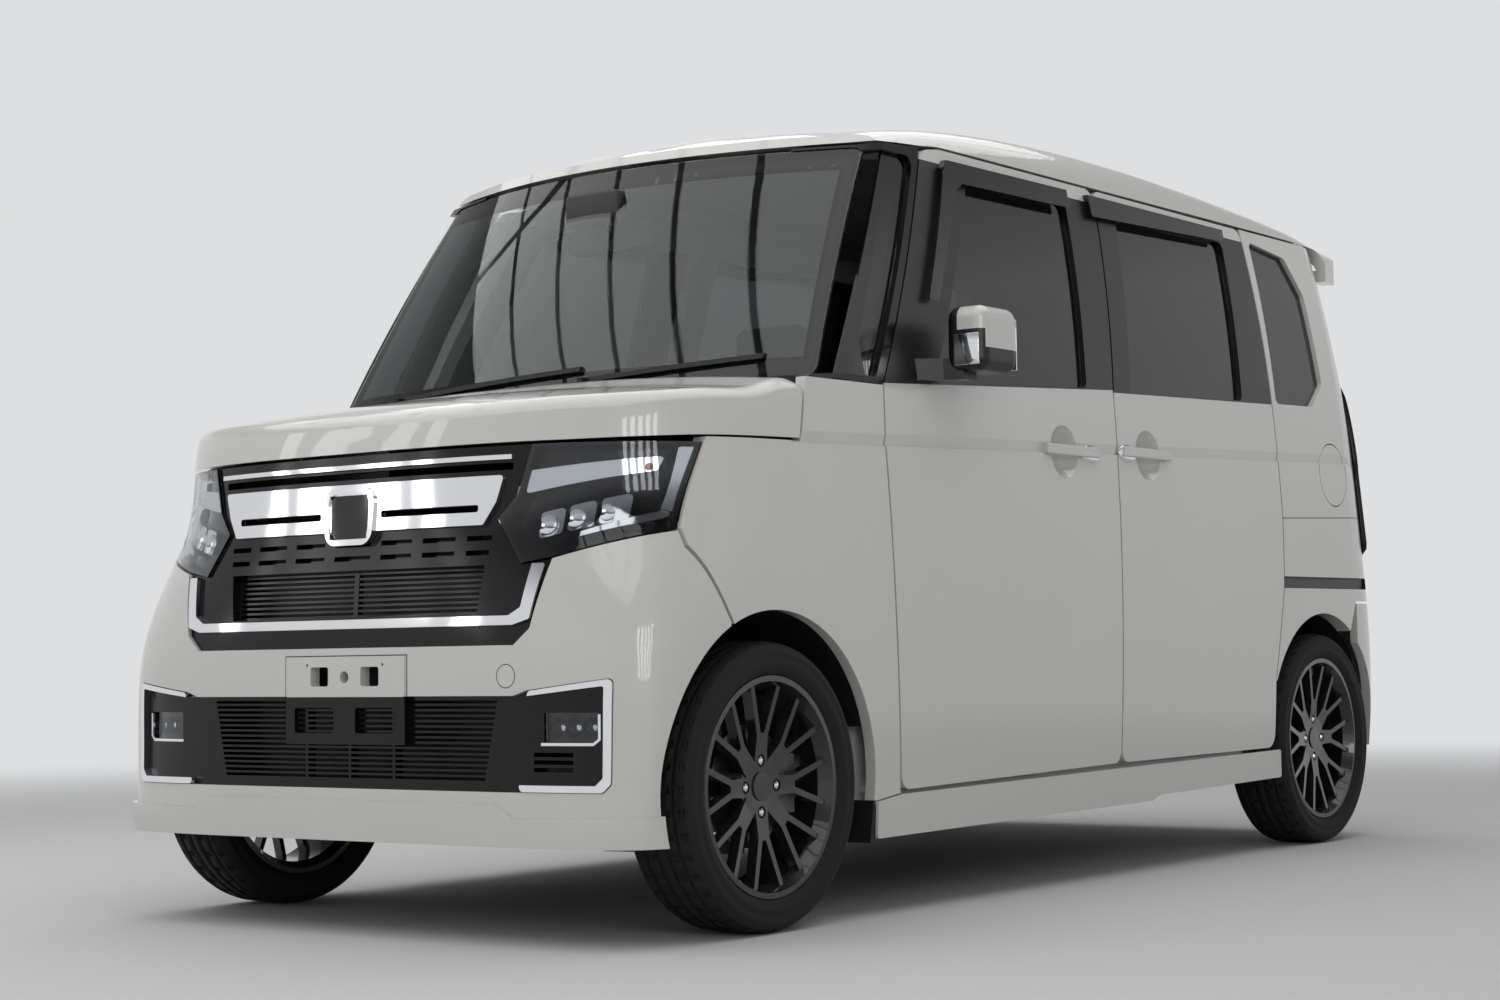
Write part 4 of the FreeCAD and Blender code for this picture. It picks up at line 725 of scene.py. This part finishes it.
# Ends of the spoiler, closed down to the tailgate's top
spoilerEnd = dict(plan=((0.590, 1.556), (0.631, 1.556), (0.618, 1.644), (0.590, 1.644)), low=1.5675,
                  high=1.600)


def buildSpoilerEnds(shape):
    for side in (1, -1):
        outline = [shape.verts.new((side * x, y, spoilerEnd["low"])) for x, y in spoilerEnd["plan"]]
        foot = shape.faces.new(outline)
        grown = bmesh.ops.extrude_face_region(shape, geom=[foot, *foot.edges, *foot.verts])["geom"]
        raised = [part for part in grown if isinstance(part, bmesh.types.BMVert)]
        bmesh.ops.translate(shape, verts=raised, vec=(0, 0, spoilerEnd["high"] - spoilerEnd["low"]))


makePiece("spoiler_ends", buildSpoilerEnds, "paint", "tailgate", False)

# Clear outer lenses of the tail lamps, standing out of the body with a black front edge
tailLens = dict(front=((0.775, 1.5740), (1.028, 1.5620), (1.040, 1.5540), (1.300, 1.5620)), low=0.781,
                high=1.292, rows=26, columns=10, inner=0.609, proud=0.018, innerProud=0.004, fall=0.8,
                rest=0.0003, skin=0.0008, lowEnd=0.03, highEnd=0.07, blackColumns=1, sideWay=(1, 0.25, 0),
                rearWay=(0.2, 1, 0), reach=0.3)


def tailEdge(z):
    # the y of the lens's front edge at that height
    for (z0, y0), (z1, y1) in zip(tailLens["front"], tailLens["front"][1:]):
        if z <= z1:
            return y0 + (y1 - y0) * (z - z0) / (z1 - z0)
    return tailLens["front"][-1][1]


def lensPlace(z, share, isOuter):
    # a point of the lens, at a share of the way from its front edge round to its inner end
    lens, tree = tailLens, treeOf("tail_lamps")
    outside = tree.ray_cast(Vector((3, tailEdge(z), z)), Vector((-1, 0, 0)))[0]
    inside = tree.ray_cast(Vector((lens["inner"], 3, z)), Vector((0, -1, 0)))[0]
    spot = outside.lerp(inside, share)
    if 0 < share < 1:
        diagonal = Vector((1, 1, 0)).normalized()
        spot = tree.ray_cast(spot + diagonal * lens["reach"], -diagonal)[0] or spot
    taper = min(1.0, (z - lens["low"]) / lens["lowEnd"], (lens["high"] - z) / lens["highEnd"])
    height = lens["innerProud"] + (lens["proud"] - lens["innerProud"]) * (1 - share) ** lens["fall"]
    out = height * math.sin(taper * math.pi / 2) + lens["skin"] if isOuter else 0.0
    way = Vector(lens["sideWay"]).lerp(Vector(lens["rearWay"]), share).normalized()
    return spot + way * (lens["rest"] + out)


def buildTailLens(side):
    def build(shape):
        rows, columns = tailLens["rows"], tailLens["columns"]
        bmesh.ops.create_grid(shape, x_segments=columns, y_segments=rows, size=1.0)
        flat = [*shape.faces, *shape.edges, *shape.verts]
        grown = bmesh.ops.extrude_face_region(shape, geom=flat)["geom"]
        raised = [part for part in grown if isinstance(part, bmesh.types.BMVert)]
        bmesh.ops.translate(shape, verts=raised, vec=(0, 0, 1))
        blackEnd = -1 + 2 * (tailLens["blackColumns"] + 0.5) / columns
        for face in shape.faces:
            face.material_index = int(max(vert.co.x for vert in face.verts) < blackEnd)
        for vert in shape.verts:
            share = round((vert.co.x + 1) / 2 * columns) / columns
            row = round((vert.co.y + 1) / 2 * rows) / rows
            z = tailLens["low"] + (tailLens["high"] - tailLens["low"]) * row
            vert.co = flip(lensPlace(z, share, vert.co.z > 0.5), side)
    return build


tailBar = dict(path=((0.648, 0.812), (0.634, 1.030), (0.619, 1.235)), width=0.012, out=0.0012, back=0.001)
for side, word in sides:
    makePiece("tail_bar_" + word, buildStrip("tail_lamps", **tailBar, side=side), "chrome", "root", False)
    piece = makePiece("tail_lens_" + word, buildTailLens(side), "lamp_lens", "root")
    piece.data.materials.append(materials["black_gloss"])

# Guides that lead the lower intake's air to the radiator's sides
airGuide = dict(box=((0.3265, -1.6030, 0.292), (0.452, -1.5990, 0.474)), rounding=0.001)


def buildAirGuides(shape):
    for side in (1, -1):
        addBox(shape, *onSide(airGuide["box"], side), airGuide["rounding"], 1)


makePiece("air_guides", buildAirGuides, "black_plastic", "root", False)

# Mirror glasses, the fog lamps' bright cups and bezel, and the amber reflector in each headlamp
mirrorGlass = dict(low=(0.772, -0.5215, 1.136), high=(0.853, -0.5185, 1.246), rounding=0.0012)
fogCups = dict(middles=((0.5255, -1.6402, 0.4075), (0.5600, -1.6353, 0.4075), (0.5945, -1.6296, 0.4075)),
               radii=(0.0085, 0.0035, 0.0085), segments=16, rings=8)
fogBezel = dict(path=((0.497, 0.3775), (0.609, 0.3775), (0.6205, 0.3865), (0.6205, 0.433)), width=0.0055,
                out=0.003, back=0.002, way=-1)
amberSpot = dict(middles=((0.631, -1.5065, 0.8955),), radii=(0.0085, 0.0060, 0.0075), segments=18, rings=10)
for side, word in sides:
    makePiece("mirror_glass_" + word, buildPlate(side, **mirrorGlass), "chrome", "door_" + word)
    makePiece("fog_cups_" + word, buildBalls(side, **fogCups), "chrome", "root")
    makePiece("fog_bezel_" + word, buildStrip("grille", **fogBezel, side=side), "chrome", "root", False)
    piece = makePiece("amber_reflector_" + word, buildBalls(side, **amberSpot), "tail_lens", "root")
    piece.data.materials[0] = materials["amber"]
print("pieces ready")

# Floor, light and camera
studio = dict(floorTone=0.58, floorSize=60.0, floorZ=-0.0005, floorDepth=0.985, floorScale=0.6,
              floorRoughness=0.85, floorNear=3.0, floorFar=8.5, backdrop=0.74,
              backdropTint=(0.985, 0.995, 1.01), skyColour=(0.93, 0.94, 0.95, 1), skyStrength=0.30,
              walls=((0.0, 1.0), (0.29, 1.0), (0.42, 0.45), (0.62, 0.12)))
panels = dict(power=6.5, size=(0.70, 2.2), columns=9, left=-3.65, across=0.77, rows=4, front=-4.47, along=2.3,
              height=3.9)
stripLamps = {
    "key": dict(place=(5.5, -5.5, 2.6), aim=(0, -0.6, 0.9), count=5, power=60.0),
    "fill": dict(place=(-4.5, -6.0, 2.4), aim=(0, -1.2, 0.8), count=4, power=24.0),
}
stripSize = dict(size=(0.34, 2.4), step=0.62)


def seenRays(tree):
    # 1 for camera, glossy and transmitted rays
    rays = tree.nodes.new("ShaderNodeLightPath")
    total = rays.outputs["Is Camera Ray"]
    for kind in ("Is Glossy Ray", "Is Transmission Ray"):
        total = mathNode(tree, "MAXIMUM", total, rays.outputs[kind])
    return total


def backdropColour(share=1.0):
    return (*(studio["backdrop"] * share * tint for tint in studio["backdropTint"]), 1)


def blend(tree, factor, first, second, end):
    mix = tree.nodes.new("ShaderNodeMixShader")
    tree.links.new(factor, mix.inputs["Fac"])
    tree.links.new(first, mix.inputs[1])
    tree.links.new(second, mix.inputs[2])
    tree.links.new(mix.outputs["Shader"], tree.nodes[end].inputs["Surface"])


def makeFloor():
    mesh = bpy.data.meshes.new("floor")
    shape = bmesh.new()
    bmesh.ops.create_grid(shape, x_segments=1, y_segments=1, size=studio["floorSize"])
    bmesh.ops.translate(shape, verts=shape.verts, vec=(0, 0, studio["floorZ"]))
    shape.to_mesh(mesh)
    shape.free()
    floor = bpy.data.objects.new("floor", mesh)
    bpy.context.collection.objects.link(floor)
    material, tree, shader = newFinish("floor")
    tone = toneOf(tree, (studio["floorTone"],) * 3, studio["floorDepth"], studio["floorScale"])
    tree.links.new(tone, shader.inputs["Base Color"])
    shader.inputs["Roughness"].default_value = studio["floorRoughness"]
    # far off, what the camera, metal and glass see of the floor runs into the backdrop
    coords = tree.nodes.new("ShaderNodeTexCoord")
    away = tree.nodes.new("ShaderNodeVectorMath")
    away.operation = "LENGTH"
    tree.links.new(coords.outputs["Object"], away.inputs[0])
    fade = tree.nodes.new("ShaderNodeMapRange")
    fade.interpolation_type = "SMOOTHSTEP"
    fade.inputs["From Min"].default_value = studio["floorNear"]
    fade.inputs["From Max"].default_value = studio["floorFar"]
    tree.links.new(away.outputs["Value"], fade.inputs["Value"])
    glow = tree.nodes.new("ShaderNodeEmission")
    glow.inputs["Color"].default_value = backdropColour()
    factor = mathNode(tree, "MULTIPLY", fade.outputs["Result"], seenRays(tree))
    blend(tree, factor, shader.outputs["BSDF"], glow.outputs["Emission"], "Material Output")
    mesh.materials.append(material)


def makeWorld():
    world = bpy.data.worlds.new("studio")
    bpy.context.scene.world = world
    world.use_nodes = True
    tree = world.node_tree
    sky = tree.nodes["Background"]
    sky.inputs["Color"].default_value = studio["skyColour"]
    sky.inputs["Strength"].default_value = studio["skyStrength"]
    coords = tree.nodes.new("ShaderNodeTexCoord")
    split = tree.nodes.new("ShaderNodeSeparateXYZ")
    tree.links.new(coords.outputs["Generated"], split.inputs["Vector"])
    # what is seen: plain walls, and a darker ceiling between the panels, higher than the camera looks
    walls = tree.nodes.new("ShaderNodeValToRGB")
    while len(walls.color_ramp.elements) < len(studio["walls"]):
        walls.color_ramp.elements.new(0.5)
    for element, (height, share) in zip(walls.color_ramp.elements, studio["walls"]):
        element.position = height
        element.color = backdropColour(share)
    tree.links.new(split.outputs["Z"], walls.inputs["Fac"])
    seen = tree.nodes.new("ShaderNodeBackground")
    tree.links.new(walls.outputs["Color"], seen.inputs["Color"])
    blend(tree, seenRays(tree), sky.outputs["Background"], seen.outputs["Background"], "World Output")


def makeLamp(name, place, aim, size, power):
    lamp = bpy.data.lights.new(name, "AREA")
    lamp.shape = "RECTANGLE"
    lamp.size, lamp.size_y = size
    lamp.energy = power
    holder = bpy.data.objects.new(name, lamp)
    bpy.context.collection.objects.link(holder)
    holder.location = place
    holder.rotation_mode = "QUATERNION"
    holder.rotation_quaternion = (Vector(aim) - Vector(place)).to_track_quat("-Z", "Y")


def makeLamps():
    # a ceiling of panels, and two rows of upright strips
    for row in range(panels["rows"]):
        for column in range(panels["columns"]):
            x, y = panels["left"] + panels["across"] * column, panels["front"] + panels["along"] * row
            makeLamp(f"panel_{row}_{column}", (x, y, panels["height"]), (x, y, 0), panels["size"],
                     panels["power"])
    for name, lamps in stripLamps.items():
        place, aim, count = Vector(lamps["place"]), Vector(lamps["aim"]), lamps["count"]
        across = (aim - place).cross(Vector((0, 0, 1))).normalized()
        for k in range(count):
            shift = across * stripSize["step"] * (k - (count - 1) / 2)
            makeLamp(f"{name}_{k}", place + shift, aim + shift, stripSize["size"], lamps["power"] / count)


# The photograph's viewing angle: turns in degrees, focal length in pixels of a frame of that width
camera = dict(place=(3.7021, -5.2934, 0.5485), yaw=-36.809, pitch=3.297, roll=-0.963, focal=2583.0,
              frame=1500.0, sensor=36.0, nearest=0.05, farthest=200.0)


def makeCamera():
    yaw, pitch, roll = (math.radians(camera[k]) for k in ("yaw", "pitch", "roll"))
    forward = Vector((math.sin(yaw) * math.cos(pitch), math.cos(yaw) * math.cos(pitch), math.sin(pitch)))
    right = Vector((math.cos(yaw), -math.sin(yaw), 0))
    up = right.cross(forward)
    turnedRight = math.cos(roll) * right + math.sin(roll) * up
    turnedUp = -math.sin(roll) * right + math.cos(roll) * up
    lens = bpy.data.cameras.new("camera")
    lens.sensor_width = camera["sensor"]
    lens.lens = camera["focal"] * camera["sensor"] / camera["frame"]
    lens.clip_start, lens.clip_end = camera["nearest"], camera["farthest"]
    holder = bpy.data.objects.new("camera", lens)
    bpy.context.collection.objects.link(holder)
    turn = Matrix((turnedRight, turnedUp, -forward)).transposed()
    holder.matrix_world = Matrix.Translation(camera["place"]) @ turn.to_4x4()
    bpy.context.scene.camera = holder


makeFloor()
makeWorld()
makeLamps()
makeCamera()
bpy.context.scene.view_settings.view_transform = "Standard"
print("studio ready")
